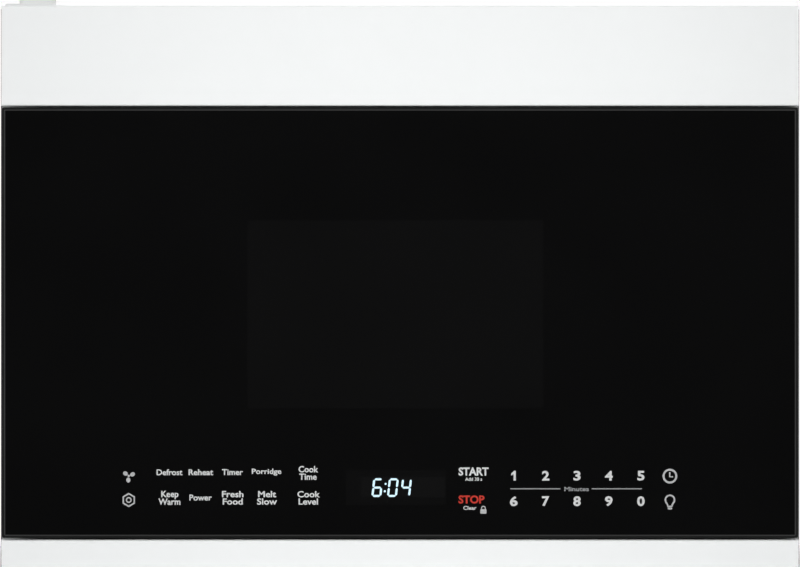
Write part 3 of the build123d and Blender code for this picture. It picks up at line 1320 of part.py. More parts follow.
# ======================================================================================
# Component bay
# ======================================================================================
SHELF_GAP = 2.0  # shelf from the front frame and the rear flange
SHELF_FRONT = FRAME_REAR + SHELF_GAP
SHELF_BACK = FLANGE_BACK - SHEET - SHELF_GAP
SHELF_LAP = 12.0
with BuildPart() as component_shelf:
    with BuildSketch(front(SHELF_FRONT)):
        # The left edge turns up against the cavity, the right edge down on the base.
        rect(BAY_L, INNER_HALF - SHEET - TOUCH, SHELF_Z, SHELF_TOP)
        rect(BAY_L, BAY_L + SHELF_T, SHELF_Z, CAVITY_Z + SHELF_LAP)
        rect(
            INNER_HALF - SHEET - TOUCH - SHELF_T,
            INNER_HALF - SHEET - TOUCH,
            BASE_T,
            SHELF_TOP,
        )
    extrude(amount=-(SHELF_BACK - SHELF_FRONT))
component_shelf.part.label = "component_shelf"
export_step(component_shelf.part, "parts/component_shelf.step")

ANTENNA_ROOM = 4.0
ANTENNA_HOLE_R = ANTENNA_R + ANTENNA_ROOM
with BuildPart() as waveguide:
    block(
        (BAY_L, BAY_L + SHEET),
        (MAG_Y - GUIDE_HALF - GUIDE_FLANGE, MAG_Y + GUIDE_HALF + GUIDE_FLANGE),
        (GUIDE_LOW - GUIDE_FLANGE, GUIDE_LOW + GUIDE_TALL + GUIDE_FLANGE),
    )
    block(
        (BAY_L, MAG_X),
        (MAG_Y - GUIDE_HALF, MAG_Y + GUIDE_HALF),
        (GUIDE_LOW, GUIDE_LOW + GUIDE_TALL),
    )
    block(
        (BAY_L, MAG_X - SHEET),
        (MAG_Y - GUIDE_HALF + SHEET, MAG_Y + GUIDE_HALF - SHEET),
        (GUIDE_LOW + SHEET, GUIDE_LOW + GUIDE_TALL - SHEET),
        mode=Mode.SUBTRACT,
    )
    with BuildSketch(side(MAG_X - SHEET)):
        with Locations((MAG_Y, MAG_Z)):
            Circle(ANTENNA_HOLE_R)
    extrude(amount=SHEET, mode=Mode.SUBTRACT)
waveguide.part.label = "waveguide"
export_step(waveguide.part, "parts/waveguide.step")

FILTER_BOX_L = 22.0
FILTER_BOX_HALF = 30.0
YOKE_WIDE = 36.0
with BuildPart() as magnetron_yoke:
    with BuildSketch(front(MAG_Y - YOKE_WIDE)):
        rect(MAG_X, MAG_X + YOKE_L, MAG_Z - YOKE_HALF, MAG_Z + YOKE_HALF)
        rect(
            MAG_X + YOKE_T,
            MAG_X + YOKE_L - YOKE_T,
            MAG_Z - YOKE_HALF + YOKE_T,
            MAG_Z + YOKE_HALF - YOKE_T,
            mode=Mode.SUBTRACT,
        )
    extrude(amount=-2 * YOKE_WIDE)
    with BuildSketch(side(MAG_X)):
        with Locations((MAG_Y, MAG_Z)):
            Circle(ANTENNA_HOLE_R)
    extrude(amount=YOKE_T, mode=Mode.SUBTRACT)
    # Filter box riveted on the far end.
    block(
        (MAG_X + YOKE_L, MAG_X + YOKE_L + FILTER_BOX_L),
        (MAG_Y - FILTER_BOX_HALF, MAG_Y + FILTER_BOX_HALF),
        (MAG_Z - FILTER_BOX_HALF, MAG_Z + FILTER_BOX_HALF),
    )
magnetron_yoke.part.label = "magnetron_yoke"
export_step(magnetron_yoke.part, "parts/magnetron_yoke.step")

ANODE_X0 = MAG_X + YOKE_T + MAGNET_T
ANODE_X1 = MAG_X + YOKE_L - YOKE_T - MAGNET_T
with BuildPart() as magnetron_core:
    with BuildSketch(side(MAG_X + YOKE_T)):
        with Locations((MAG_Y, MAG_Z)):
            Circle(MAGNET_R)
    extrude(amount=MAGNET_T)
    with BuildSketch(side(ANODE_X0)):
        with Locations((MAG_Y, MAG_Z)):
            Circle(ANODE_R)
    extrude(amount=ANODE_X1 - ANODE_X0)
    with BuildSketch(side(ANODE_X1)):
        with Locations((MAG_Y, MAG_Z)):
            Circle(MAGNET_R)
    extrude(amount=MAGNET_T)
    with BuildSketch(side(MAG_X - ANTENNA_L)):
        with Locations((MAG_Y, MAG_Z)):
            Circle(ANTENNA_R)
    extrude(amount=ANTENNA_L + YOKE_T)
magnetron_core.part.label = "magnetron_core"
export_step(magnetron_core.part, "parts/magnetron_core.step")

FIN_PITCH = (ANODE_X1 - ANODE_X0) / FIN_COUNT
with BuildPart() as magnetron_fins:
    for number in range(FIN_COUNT):
        fin_x = ANODE_X0 + (number + 0.5) * FIN_PITCH
        with BuildSketch(side(fin_x)):
            with Locations((MAG_Y, MAG_Z)):
                Rectangle(2 * YOKE_WIDE - 2 * SHEET, 2 * (YOKE_HALF - YOKE_T))
                Circle(ANODE_R, mode=Mode.SUBTRACT)
        extrude(amount=FIN_T)
magnetron_fins.part.label = "magnetron_fins"
export_step(magnetron_fins.part, "parts/magnetron_fins.step")

# The board stands behind the switch holder, and equal gaps part the board, the
# transformer, the capacitor, the fan's bulkhead and the back.
RELAY_W = 16.0
RELAY_DEEP = 15.0
RELAY_TALL = 20.0
RELAY_GAP = 6.0
SMALL_CORE_W = 36.0
SMALL_CORE_DEEP = 24.0
SMALL_CORE_TALL = 32.0
PCB_T = 1.6
PCB_BEHIND = 1.0  # board behind the switch holder
FAN_BEHIND = 4.0  # fan behind the bulkhead
FAN_TO_MOTOR = 6.0
FAN_MOTOR_DEEP = 22.0
PCB_Y = SWITCH_BACK + HOLDER_T + PCB_BEHIND
FAN_SET = FAN_BEHIND + FAN_DEPTH + FAN_TO_MOTOR + FAN_MOTOR_DEEP + SHEET
BAY_FRONT = PCB_Y + PCB_T + SMALL_CORE_DEEP
BAY_BACK = FLANGE_BACK - SHEET
BAY_GAP = (BAY_BACK - BAY_FRONT - CORE_LONG - CAN_WIDE - FAN_SET) / 4
CORE_Y = BAY_FRONT + BAY_GAP + CORE_LONG / 2
CAN_Y = CORE_Y + CORE_LONG / 2 + BAY_GAP + CAN_WIDE / 2
BULKHEAD_Y = CAN_Y + CAN_WIDE / 2 + BAY_GAP
CORE_WINDOW_W = (CORE_LONG - CORE_LEG) / 2 - CORE_YOKE
CORE_WINDOW_H = CORE_TALL - 2 * CORE_YOKE
CORE_MID_Z = SHELF_TOP + CORE_TALL / 2
FOOT_T = 2.0
FOOT_OUT = 14.0
with BuildPart() as transformer_core:
    with BuildSketch(side(CORE_X - CORE_STACK / 2)):
        with Locations((CORE_Y, CORE_MID_Z)):
            Rectangle(CORE_LONG, CORE_TALL)
        for sign in (-1, 1):
            with Locations(
                (CORE_Y + sign * (CORE_LEG + CORE_WINDOW_W) / 2, CORE_MID_Z)
            ):
                Rectangle(CORE_WINDOW_W, CORE_WINDOW_H, mode=Mode.SUBTRACT)
    extrude(amount=CORE_STACK)
    block(
        (CORE_X - CORE_STACK / 2 - FOOT_OUT, CORE_X + CORE_STACK / 2 + FOOT_OUT),
        (CORE_Y - CORE_LONG / 2, CORE_Y + CORE_LONG / 2),
        (SHELF_TOP, SHELF_TOP + FOOT_T),
    )
transformer_core.part.label = "transformer_core"
export_step(transformer_core.part, "parts/transformer_core.step")

COIL_GAP = 2.0
COIL_TALL = (CORE_WINDOW_H - 3 * COIL_GAP) / 2
with BuildPart() as transformer_windings:
    for number in range(2):
        coil_low = (
            SHELF_TOP + CORE_YOKE + COIL_GAP + number * (COIL_TALL + COIL_GAP)
        )
        with BuildSketch(level(coil_low)) as winding:
            with Locations((CORE_X, CORE_Y)):
                Rectangle(
                    CORE_STACK + 2 * COIL_OUT, CORE_LEG + 2 * CORE_WINDOW_W - 2 * TOUCH
                )
            fillet(winding.vertices(), COIL_OUT * 0.8)
            with Locations((CORE_X, CORE_Y)):
                Rectangle(
                    CORE_STACK + 2 * TOUCH, CORE_LEG + 2 * TOUCH, mode=Mode.SUBTRACT
                )
        extrude(amount=COIL_TALL)
transformer_windings.part.label = "transformer_windings"
export_step(transformer_windings.part, "parts/transformer_windings.step")

TERMINAL_H = 9.0
TERMINAL_W = 6.0
with BuildPart() as hv_capacitor:
    with BuildSketch(level(SHELF_TOP)):
        with Locations((POWER_X, CAN_Y)):
            SlotOverall(CAN_LONG, CAN_WIDE)
    extrude(amount=CAN_TALL)
    with BuildSketch(level(SHELF_TOP + CAN_TALL - CAN_RIM_H)):
        with Locations((POWER_X, CAN_Y)):
            SlotOverall(CAN_LONG + 2 * SHEET, CAN_WIDE + 2 * SHEET)
    extrude(amount=CAN_RIM_H)
    with BuildSketch(level(SHELF_TOP + CAN_TALL)):
        with Locations((POWER_X, CAN_Y)):
            with GridLocations(CAN_LONG / 2, 0, 2, 1):
                Rectangle(SHEET, TERMINAL_W)
    extrude(amount=TERMINAL_H)
hv_capacitor.part.label = "hv_capacitor"
export_step(hv_capacitor.part, "parts/hv_capacitor.step")

CLAMP_Z = SHELF_TOP + CAN_TALL * 0.4
CLAMP_H = 12.0
CLAMP_T = 1.0
CLAMP_FOOT = 12.0
with BuildPart() as capacitor_clamp:
    with BuildSketch(level(CLAMP_Z)):
        with Locations((POWER_X, CAN_Y)):
            SlotOverall(CAN_LONG + 2 * CLAMP_T, CAN_WIDE + 2 * CLAMP_T)
            SlotOverall(CAN_LONG, CAN_WIDE, mode=Mode.SUBTRACT)
    extrude(amount=CLAMP_H)
    # Leg down to the shelf, with its foot.
    leg_x = POWER_X + CAN_LONG / 2 + CLAMP_T / 2
    block(
        (leg_x, leg_x + CLAMP_T),
        (CAN_Y - CLAMP_H / 2, CAN_Y + CLAMP_H / 2),
        (SHELF_TOP, CLAMP_Z + CLAMP_H),
    )
    block(
        (leg_x, leg_x + CLAMP_FOOT),
        (CAN_Y - CLAMP_H / 2, CAN_Y + CLAMP_H / 2),
        (SHELF_TOP, SHELF_TOP + CLAMP_T),
    )
capacitor_clamp.part.label = "capacitor_clamp"
export_step(capacitor_clamp.part, "parts/capacitor_clamp.step")

PCB_INSET = 10.0
PCB_ABOVE = 127.0  # height of the board over the shelf
PCB_X0 = BAY_L + PCB_INSET
PCB_X1 = INNER_HALF - PCB_INSET
PCB_HIGH = SHELF_TOP + PCB_ABOVE
PCB_REAR = PCB_Y + PCB_T
PCB_EDGE = 12.0  # parts from the board's edges
PLUG_W = 32.0
PLUG_TALL = 10.0
CHOKE_COIL_R = 9.0
CHOKE_COIL_L = 22.0
with BuildPart() as power_board:
    block((PCB_X0, PCB_X1), (PCB_Y, PCB_REAR), (SHELF_TOP, PCB_HIGH))
    # Three relays in a row, a small transformer, a plug and a round coil.
    for number in range(3):
        relay_x = PCB_X0 + PCB_EDGE + number * (RELAY_W + RELAY_GAP)
        block(
            (relay_x, relay_x + RELAY_W),
            (PCB_REAR, PCB_REAR + RELAY_DEEP),
            (PCB_HIGH - PCB_EDGE - RELAY_TALL, PCB_HIGH - PCB_EDGE),
        )
    block(
        (PCB_X0 + PCB_EDGE, PCB_X0 + PCB_EDGE + SMALL_CORE_W),
        (PCB_REAR, PCB_REAR + SMALL_CORE_DEEP),
        (SHELF_TOP + PCB_EDGE, SHELF_TOP + PCB_EDGE + SMALL_CORE_TALL),
    )
    block(
        (PCB_X1 - PCB_EDGE - PLUG_W, PCB_X1 - PCB_EDGE),
        (PCB_REAR, PCB_REAR + PLUG_TALL),
        (SHELF_TOP + PCB_EDGE, SHELF_TOP + PCB_EDGE + PLUG_TALL),
    )
    with BuildSketch(front(PCB_REAR)):
        with Locations(
            (
                PCB_X1 - PCB_EDGE - PLUG_W / 2,
                SHELF_TOP + 2 * PCB_EDGE + PLUG_TALL + CHOKE_COIL_R,
            )
        ):
            Circle(CHOKE_COIL_R)
    extrude(amount=-CHOKE_COIL_L)
power_board.part.label = "power_board"
export_step(power_board.part, "parts/power_board.step")

# Bulkhead with the cooling fan's collar and the strap that carries its motor.
COLLAR_R = FAN_R + FAN_TIP_GAP
COLLAR_DEEP = 20.0
STRAP_OUT = 5.0
STRAP_X = COLLAR_R + STRAP_OUT
STRAP_H = 16.0
FAN_MOTOR_HALF = 24.0
FAN_MOTOR_TALL = 40.0
FAN_SHAFT_R = 2.0
FAN_FRONT = BULKHEAD_Y + FAN_BEHIND
MOTOR_FRONT = FAN_FRONT + FAN_DEPTH + FAN_TO_MOTOR
STRAP_Y = MOTOR_FRONT + FAN_MOTOR_DEEP
with BuildPart() as cooling_fan_shroud:
    with BuildSketch(front(BULKHEAD_Y)):
        rect(BAY_L + SHELF_T + TOUCH, INNER_HALF - SHEET, SHELF_TOP, CAV_TOP)
        with Locations((POWER_X, FAN_Z)):
            Circle(COLLAR_R, mode=Mode.SUBTRACT)
    extrude(amount=-SHEET)
    with BuildSketch(front(BULKHEAD_Y)):
        with Locations((POWER_X, FAN_Z)):
            Circle(COLLAR_R + 2 * SHEET)
            Circle(COLLAR_R, mode=Mode.SUBTRACT)
    extrude(amount=-COLLAR_DEEP)
    with BuildSketch(level(FAN_Z - STRAP_H / 2)):
        for x0, x1 in (
            (POWER_X - STRAP_X - SHEET, POWER_X - STRAP_X),
            (POWER_X + STRAP_X, POWER_X + STRAP_X + SHEET),
        ):
            rect(x0, x1, BULKHEAD_Y, STRAP_Y + SHEET)
        rect(
            POWER_X - STRAP_X - SHEET,
            POWER_X + STRAP_X + SHEET,
            STRAP_Y,
            STRAP_Y + SHEET,
        )
    extrude(amount=STRAP_H)
cooling_fan_shroud.part.label = "cooling_fan_shroud"
export_step(cooling_fan_shroud.part, "parts/cooling_fan_shroud.step")

SHAFT_IN = 16.0
with BuildPart() as cooling_fan_motor:
    with BuildSketch(front(MOTOR_FRONT)) as stator:
        with Locations((POWER_X, FAN_Z)):
            Rectangle(2 * FAN_MOTOR_HALF, FAN_MOTOR_TALL)
        fillet(stator.vertices(), 3)
    extrude(amount=-FAN_MOTOR_DEEP)
    with BuildSketch(front(MOTOR_FRONT - 2 * SHEET)):
        with Locations((POWER_X, FAN_Z)):
            Circle(4 * FAN_SHAFT_R)
    extrude(amount=-2 * SHEET)
    with BuildSketch(front(MOTOR_FRONT - 2 * SHEET)):
        with Locations((POWER_X, FAN_Z)):
            Circle(FAN_SHAFT_R + RUN_FIT)
    extrude(amount=-(SHAFT_IN + RUN_FIT + 2 * SHEET), mode=Mode.SUBTRACT)
cooling_fan_motor.part.label = "cooling_fan_motor"
export_step(cooling_fan_motor.part, "parts/cooling_fan_motor.step")

FAN_HUB_R = 12.0
FAN_MID_Y = FAN_FRONT + FAN_DEPTH / 2
BLADE_T = 1.4
with BuildPart() as cooling_fan_blade:
    with BuildSketch(front(FAN_FRONT)):
        with Locations((POWER_X, FAN_Z)):
            Circle(FAN_HUB_R)
    extrude(amount=-FAN_DEPTH)
    with BuildSketch(front(FAN_FRONT + FAN_DEPTH)):
        with Locations((POWER_X, FAN_Z)):
            Circle(FAN_SHAFT_R)
    extrude(amount=-(MOTOR_FRONT + SHAFT_IN - FAN_FRONT - FAN_DEPTH))
    # Each blade is lofted from a steep root to a flatter, longer tip.
    for number in range(FAN_BLADES):
        turn = 2 * math.pi * number / FAN_BLADES
        outwards = Vector(math.cos(turn), 0, math.sin(turn))
        with BuildSketch(
            Plane(
                origin=Vector(POWER_X, FAN_MID_Y, FAN_Z) + outwards * (FAN_HUB_R - 2),
                x_dir=(0, 1, 0),
                z_dir=outwards,
            )
        ):
            Rectangle(FAN_DEPTH + 2, BLADE_T, rotation=38)
        with BuildSketch(
            Plane(
                origin=Vector(POWER_X, FAN_MID_Y, FAN_Z) + outwards * (FAN_R - 1),
                x_dir=(0, 1, 0),
                z_dir=outwards,
            )
        ):
            Rectangle(2 * FAN_DEPTH, BLADE_T, rotation=62)
        loft(ruled=True)
cooling_fan_blade.part.label = "cooling_fan_blade"
export_step(cooling_fan_blade.part, "parts/cooling_fan_blade.step")

# ======================================================================================
# Ventilation blower
# ======================================================================================
TRAY_OVER = 4.0
SADDLE_HALF = 30.0
SADDLE_T = 3.0
SADDLE_H = 34.0
INLET_R = WHEEL_BORE + 2.0
BLOWER_FLOOR = ROOF + TRAY_PLATE


def spiral_points(skin):
    """Seven points of the scroll, from its tongue in front, below and behind the wheel.

    They lie skin inside the scroll's outer face.
    """
    points = []
    for eighth in range(7):
        radius = SCROLL_R - SCROLL_GROWTH * (1 - eighth / 6) - skin
        turn = eighth * math.pi / 4
        points.append(
            (BLOWER_Y - radius * math.cos(turn), BLOWER_Z - radius * math.sin(turn))
        )
    points[0] = (points[0][0], BLOWER_Z + skin)
    return points


with BuildPart() as blower_housing:
    block(
        (-SCROLL_IN - SCROLL_W - TRAY_OVER, SCROLL_IN + SCROLL_W + TRAY_OVER),
        (BLOWER_Y - SCROLL_R, CAV_BACK),
        (ROOF, BLOWER_FLOOR),
    )
    for x_in in (-SCROLL_IN - SCROLL_W, SCROLL_IN):
        # Spiral scroll with a straight outlet along its top, towards the front.
        for skin, mode in ((0, Mode.ADD), (SCROLL_T, Mode.SUBTRACT)):
            spiral = spiral_points(skin)
            with BuildSketch(side(x_in + skin)):
                with BuildLine():
                    for first in (0, 2, 4):
                        ThreePointArc(*spiral[first : first + 3])
                    Polyline(
                        spiral[6],
                        (BLOWER_Y - OUTLET_LONG, BLOWER_Z + SCROLL_R - skin),
                        (BLOWER_Y - OUTLET_LONG, BLOWER_Z + skin),
                        spiral[0],
                    )
                make_face()
                if mode == Mode.ADD:
                    rect(
                        BLOWER_Y - SCROLL_R / 2,
                        BLOWER_Y + SCROLL_R / 2,
                        BLOWER_FLOOR,
                        BLOWER_Z,
                    )
            extrude(amount=SCROLL_W - 2 * skin, mode=mode)
        with BuildSketch(side(x_in)):
            with Locations((BLOWER_Y, BLOWER_Z)):
                Circle(INLET_R)
        extrude(amount=SCROLL_W, mode=Mode.SUBTRACT)
    # Saddles under the motor.
    for saddle_x in (-MOTOR_HALF + 2 * SADDLE_T, MOTOR_HALF - 3 * SADDLE_T):
        with BuildSketch(side(saddle_x)):
            rect(
                BLOWER_Y - SADDLE_HALF,
                BLOWER_Y + SADDLE_HALF,
                BLOWER_FLOOR,
                BLOWER_FLOOR + SADDLE_H,
            )
            with Locations((BLOWER_Y, BLOWER_Z)):
                Circle(MOTOR_R, mode=Mode.SUBTRACT)
        extrude(amount=SADDLE_T)
blower_housing.part.label = "blower_housing"
export_step(blower_housing.part, "parts/blower_housing.step")

END_BELL = 8.0
with BuildPart() as blower_motor:
    with BuildSketch(side(-MOTOR_HALF)):
        with Locations((BLOWER_Y, BLOWER_Z)):
            Circle(MOTOR_R)
    extrude(amount=2 * MOTOR_HALF)
    chamfer(blower_motor.edges().filter_by(GeomType.CIRCLE), END_BELL)
    with BuildSketch(side(-MOTOR_HALF)):
        with Locations((BLOWER_Y, BLOWER_Z)):
            Circle(BLOWER_SHAFT_R + RUN_FIT)
    extrude(amount=2 * MOTOR_HALF, mode=Mode.SUBTRACT)
blower_motor.part.label = "blower_motor"
export_step(blower_motor.part, "parts/blower_motor.step")

# Two squirrel-cage wheels on one shaft, each with forward-curved blades.
WHEEL_IN = SCROLL_IN + (SCROLL_W - WHEEL_W) / 2
DISC_T = 1.6
WHEEL_BLADE_T = 0.9
BLADE_BOW = 1.6
WHEEL_HUB_R = 9.0
HUB_L = 14.0
BLADE_LEAN = 6.0
with BuildSketch(mode=Mode.PRIVATE) as wheel_blade:
    # One forward-curved blade, drawn from the wheel's axis.
    with BuildLine():
        blade_in = (WHEEL_BORE, 0)
        blade_out = (WHEEL_R, BLADE_LEAN)
        blade_mid = ((WHEEL_BORE + WHEEL_R) / 2, BLADE_LEAN / 2 - BLADE_BOW)
        ThreePointArc(blade_in, blade_mid, blade_out)
        Line(blade_out, (WHEEL_R, BLADE_LEAN + WHEEL_BLADE_T))
        ThreePointArc(
            (WHEEL_R, BLADE_LEAN + WHEEL_BLADE_T),
            (blade_mid[0], blade_mid[1] + WHEEL_BLADE_T),
            (WHEEL_BORE, WHEEL_BLADE_T),
        )
        Line((WHEEL_BORE, WHEEL_BLADE_T), blade_in)
    make_face()

with BuildPart() as blower_wheels:
    with BuildSketch(side(-WHEEL_IN - WHEEL_W)):
        with Locations((BLOWER_Y, BLOWER_Z)):
            Circle(BLOWER_SHAFT_R)
    extrude(amount=2 * (WHEEL_IN + WHEEL_W))
    for x_disc, x_blades in (
        (-WHEEL_IN - DISC_T, -WHEEL_IN - WHEEL_W),
        (WHEEL_IN, WHEEL_IN),
    ):
        with BuildSketch(side(x_disc)):
            with Locations((BLOWER_Y, BLOWER_Z)):
                Circle(WHEEL_R + DISC_T)
        extrude(amount=DISC_T)
        with BuildSketch(side(x_blades)):
            with Locations((BLOWER_Y, BLOWER_Z)):
                with PolarLocations(0, WHEEL_BLADES):
                    add(wheel_blade.sketch)
        extrude(amount=WHEEL_W)
    for x_ring in (-WHEEL_IN - WHEEL_W, WHEEL_IN + WHEEL_W - DISC_T):
        with BuildSketch(side(x_ring)):
            with Locations((BLOWER_Y, BLOWER_Z)):
                Circle(WHEEL_R + DISC_T)
                Circle(WHEEL_BORE + DISC_T, mode=Mode.SUBTRACT)
        extrude(amount=DISC_T)
    # Hubs that clamp the shaft.
    for x_hub in (-WHEEL_IN - HUB_L, WHEEL_IN):
        with BuildSketch(side(x_hub)):
            with Locations((BLOWER_Y, BLOWER_Z)):
                Circle(WHEEL_HUB_R)
        extrude(amount=HUB_L)
blower_wheels.part.label = "blower_wheels"
export_step(blower_wheels.part, "parts/blower_wheels.step")

# ======================================================================================
# Grease filters and cooktop lamp
# ======================================================================================
TAB_OUT = 16.0
FILTER_REST = 0.05  # filter above the base plate, so that it slides
for name, sign in (("grease_filter_left", -1), ("grease_filter_right", 1)):
    with BuildPart() as grease_filter:
        with BuildSketch(level(BASE_T + FILTER_REST)) as filter_plan:
            with Locations((sign * FILTER_X, FILTER_Y)):
                Rectangle(FILTER_W, FILTER_L)
            fillet(filter_plan.vertices(), FILTER_EDGE / 2)
        extrude(amount=FILTER_T)
        # Pockets above and below leave the mesh between them in its channel frame.
        for pocket_low in (
            BASE_T + FILTER_REST,
            BASE_T + FILTER_REST + FILTER_T * 2 / 3,
        ):
            with BuildSketch(level(pocket_low)):
                with Locations((sign * FILTER_X, FILTER_Y)):
                    Rectangle(FILTER_W - 2 * FILTER_EDGE, FILTER_L - 2 * FILTER_EDGE)
            extrude(amount=FILTER_T / 3, mode=Mode.SUBTRACT)
        # Finger tab near the front edge.
        tab_y = FILTER_Y - FILTER_L / 2 + FILTER_EDGE
        block(
            (sign * FILTER_X - TAB_OUT, sign * FILTER_X + TAB_OUT),
            (tab_y, tab_y + SHEET),
            (BASE_T + FILTER_REST, BASE_T + FILTER_REST + FILTER_T / 3),
        )
    grease_filter.part.label = name
    export_step(grease_filter.part, f"parts/{name}.step")

LAMP_COVER_LOW = 0.2
LAMP_COVER_T = 0.8
LENS_EDGE = 8.0
LENS_T = 2.0
ARM_W = 6.0
ARM_AHEAD = 2.0
ARM_BEHIND = 1.8
LUG_RELIEF = 5.0  # the rim stays this far ahead of the pins beside the lugs
LAMP_COVER_HALF = LAMP_HALF - LAMP_GAP
LAMP_COVER_FRONT = LAMP_Y_FRONT + LAMP_GAP
LAMP_COVER_BACK = LAMP_PIN_Y + ARM_BEHIND
LAMP_COVER_TOP = LAMP_COVER_LOW + LAMP_COVER_T
with BuildPart() as lamp_cover:
    # Thin rim with the thicker diffuser inside it.
    with BuildSketch(level(LAMP_COVER_LOW)):
        rect(
            -LAMP_COVER_HALF,
            LAMP_COVER_HALF,
            LAMP_COVER_FRONT,
            LAMP_PIN_Y - LUG_RELIEF,
        )
        rect(
            -LUG_IN + SLIDE_GAP,
            LUG_IN - SLIDE_GAP,
            LAMP_COVER_FRONT,
            LAMP_COVER_BACK,
        )
    extrude(amount=LAMP_COVER_T)
    with BuildSketch(level(LAMP_COVER_TOP)) as diffuser:
        rect(
            -LAMP_COVER_HALF + LENS_EDGE,
            LAMP_COVER_HALF - LENS_EDGE,
            LAMP_COVER_FRONT + LENS_EDGE,
            LAMP_COVER_BACK - LENS_EDGE,
        )
        fillet(diffuser.vertices(), LENS_EDGE / 2)
    extrude(amount=LENS_T, taper=20)
    # Two arms with the pins that turn in the base plate's lugs.
    for sign in (-1, 1):
        arm_in = LUG_IN - SLIDE_GAP - ARM_W
        block(
            sorted((sign * arm_in, sign * (arm_in + ARM_W))),
            (LAMP_PIN_Y - ARM_AHEAD, LAMP_PIN_Y + ARM_BEHIND),
            (LAMP_COVER_LOW, LAMP_PIN_Z + ARM_AHEAD),
        )
        with BuildSketch(side(sign * arm_in)):
            with Locations((LAMP_PIN_Y, LAMP_PIN_Z)):
                Circle(LAMP_PIN_R)
        extrude(amount=sign * (ARM_W + SLIDE_GAP + LUG_T))
lamp_cover.part.label = "lamp_cover"
export_step(lamp_cover.part, "parts/lamp_cover.step")

SOCKET_OUT = 2.0
SOCKET_X0 = LAMP_HALF + SOCKET_OUT
SOCKET_W = 18.0
SOCKET_L = 20.0
SOCKET_H = 36.0
BULB_Z = 26.0
BULB_LONG = 58.0
LAMP_MID_Y = (LAMP_Y_FRONT + LAMP_Y_BACK) / 2
with BuildPart() as cooktop_lamp_socket:
    with BuildSketch(front(LAMP_MID_Y - SOCKET_L / 2)) as socket_profile:
        rect(SOCKET_X0, SOCKET_X0 + SOCKET_W, BASE_T, BASE_T + SOCKET_H)
        fillet(socket_profile.vertices().group_by(Axis.Y)[-1], 4)
    extrude(amount=-SOCKET_L)
cooktop_lamp_socket.part.label = "cooktop_lamp_socket"
export_step(cooktop_lamp_socket.part, "parts/cooktop_lamp_socket.step")

CAP_BULB_R = 6.0
GLOBE_R = 8.5
with BuildPart() as cooktop_lamp_bulb:
    with BuildSketch(front(LAMP_MID_Y)):
        with BuildLine():
            # Screw cap in the socket, then the glass with its rounded tip.
            Polyline(
                (SOCKET_X0, BULB_Z),
                (SOCKET_X0, BULB_Z + CAP_BULB_R),
                (SOCKET_X0 - BULB_LONG / 4, BULB_Z + CAP_BULB_R),
                (SOCKET_X0 - BULB_LONG / 3, BULB_Z + GLOBE_R),
                (SOCKET_X0 - BULB_LONG + GLOBE_R, BULB_Z + GLOBE_R),
            )
            Polyline(
                *[
                    (
                        SOCKET_X0 - BULB_LONG + GLOBE_R * (1 - math.sin(turn)),
                        BULB_Z + GLOBE_R * math.cos(turn),
                    )
                    for turn in (0, math.pi / 6, math.pi / 3)
                ],
                (SOCKET_X0 - BULB_LONG, BULB_Z),
                (SOCKET_X0, BULB_Z),
            )
        make_face()
    revolve(axis=Axis((0, LAMP_MID_Y, BULB_Z), (1, 0, 0)))
cooktop_lamp_bulb.part.label = "cooktop_lamp_bulb"
export_step(cooktop_lamp_bulb.part, "parts/cooktop_lamp_bulb.step")
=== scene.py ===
"""Looks of a narrow over-the-range microwave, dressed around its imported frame.

Every length is in metres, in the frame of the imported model: X to the right seen
from the front, Y towards the wall, Z up, with the door's face looking along -Y.
"""

from __future__ import annotations

import json
import logging
import math
from dataclasses import dataclass, field, replace
from enum import Enum
from typing import Any, ClassVar, Iterable, Sequence

import bmesh
import bpy
from mathutils import Matrix, Vector
from mathutils.geometry import delaunay_2d_cdt

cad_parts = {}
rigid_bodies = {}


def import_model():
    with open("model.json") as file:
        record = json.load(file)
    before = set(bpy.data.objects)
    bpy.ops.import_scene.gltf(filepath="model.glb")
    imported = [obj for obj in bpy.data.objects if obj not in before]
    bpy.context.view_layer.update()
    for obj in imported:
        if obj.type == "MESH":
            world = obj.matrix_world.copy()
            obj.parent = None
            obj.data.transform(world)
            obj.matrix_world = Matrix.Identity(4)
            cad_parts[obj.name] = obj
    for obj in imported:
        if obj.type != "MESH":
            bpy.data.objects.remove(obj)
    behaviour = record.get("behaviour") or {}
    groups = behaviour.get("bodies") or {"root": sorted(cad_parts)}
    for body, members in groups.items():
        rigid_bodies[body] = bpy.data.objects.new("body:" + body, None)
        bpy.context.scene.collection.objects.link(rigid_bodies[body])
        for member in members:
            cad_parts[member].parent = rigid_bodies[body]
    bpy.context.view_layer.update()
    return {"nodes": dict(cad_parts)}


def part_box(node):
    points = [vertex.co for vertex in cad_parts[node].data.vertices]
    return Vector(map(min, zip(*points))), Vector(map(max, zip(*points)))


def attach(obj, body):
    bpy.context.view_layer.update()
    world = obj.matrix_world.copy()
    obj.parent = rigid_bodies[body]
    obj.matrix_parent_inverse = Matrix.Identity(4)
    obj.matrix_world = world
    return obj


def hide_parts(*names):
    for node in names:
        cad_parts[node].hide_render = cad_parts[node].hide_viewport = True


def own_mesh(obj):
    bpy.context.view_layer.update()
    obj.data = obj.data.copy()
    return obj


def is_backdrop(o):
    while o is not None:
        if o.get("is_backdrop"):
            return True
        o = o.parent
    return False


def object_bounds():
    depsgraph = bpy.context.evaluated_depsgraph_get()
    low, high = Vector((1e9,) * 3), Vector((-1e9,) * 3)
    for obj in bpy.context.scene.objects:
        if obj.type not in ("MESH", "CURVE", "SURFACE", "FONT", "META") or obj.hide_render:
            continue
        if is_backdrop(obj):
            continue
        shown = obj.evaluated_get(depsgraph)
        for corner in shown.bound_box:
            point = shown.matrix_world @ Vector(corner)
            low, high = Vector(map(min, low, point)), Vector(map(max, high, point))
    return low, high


LOG = logging.getLogger("microwave")
MM = 0.001
UPRIGHT = Matrix.Rotation(math.pi / 2, 4, "X")  # XY drawing turned to face -Y

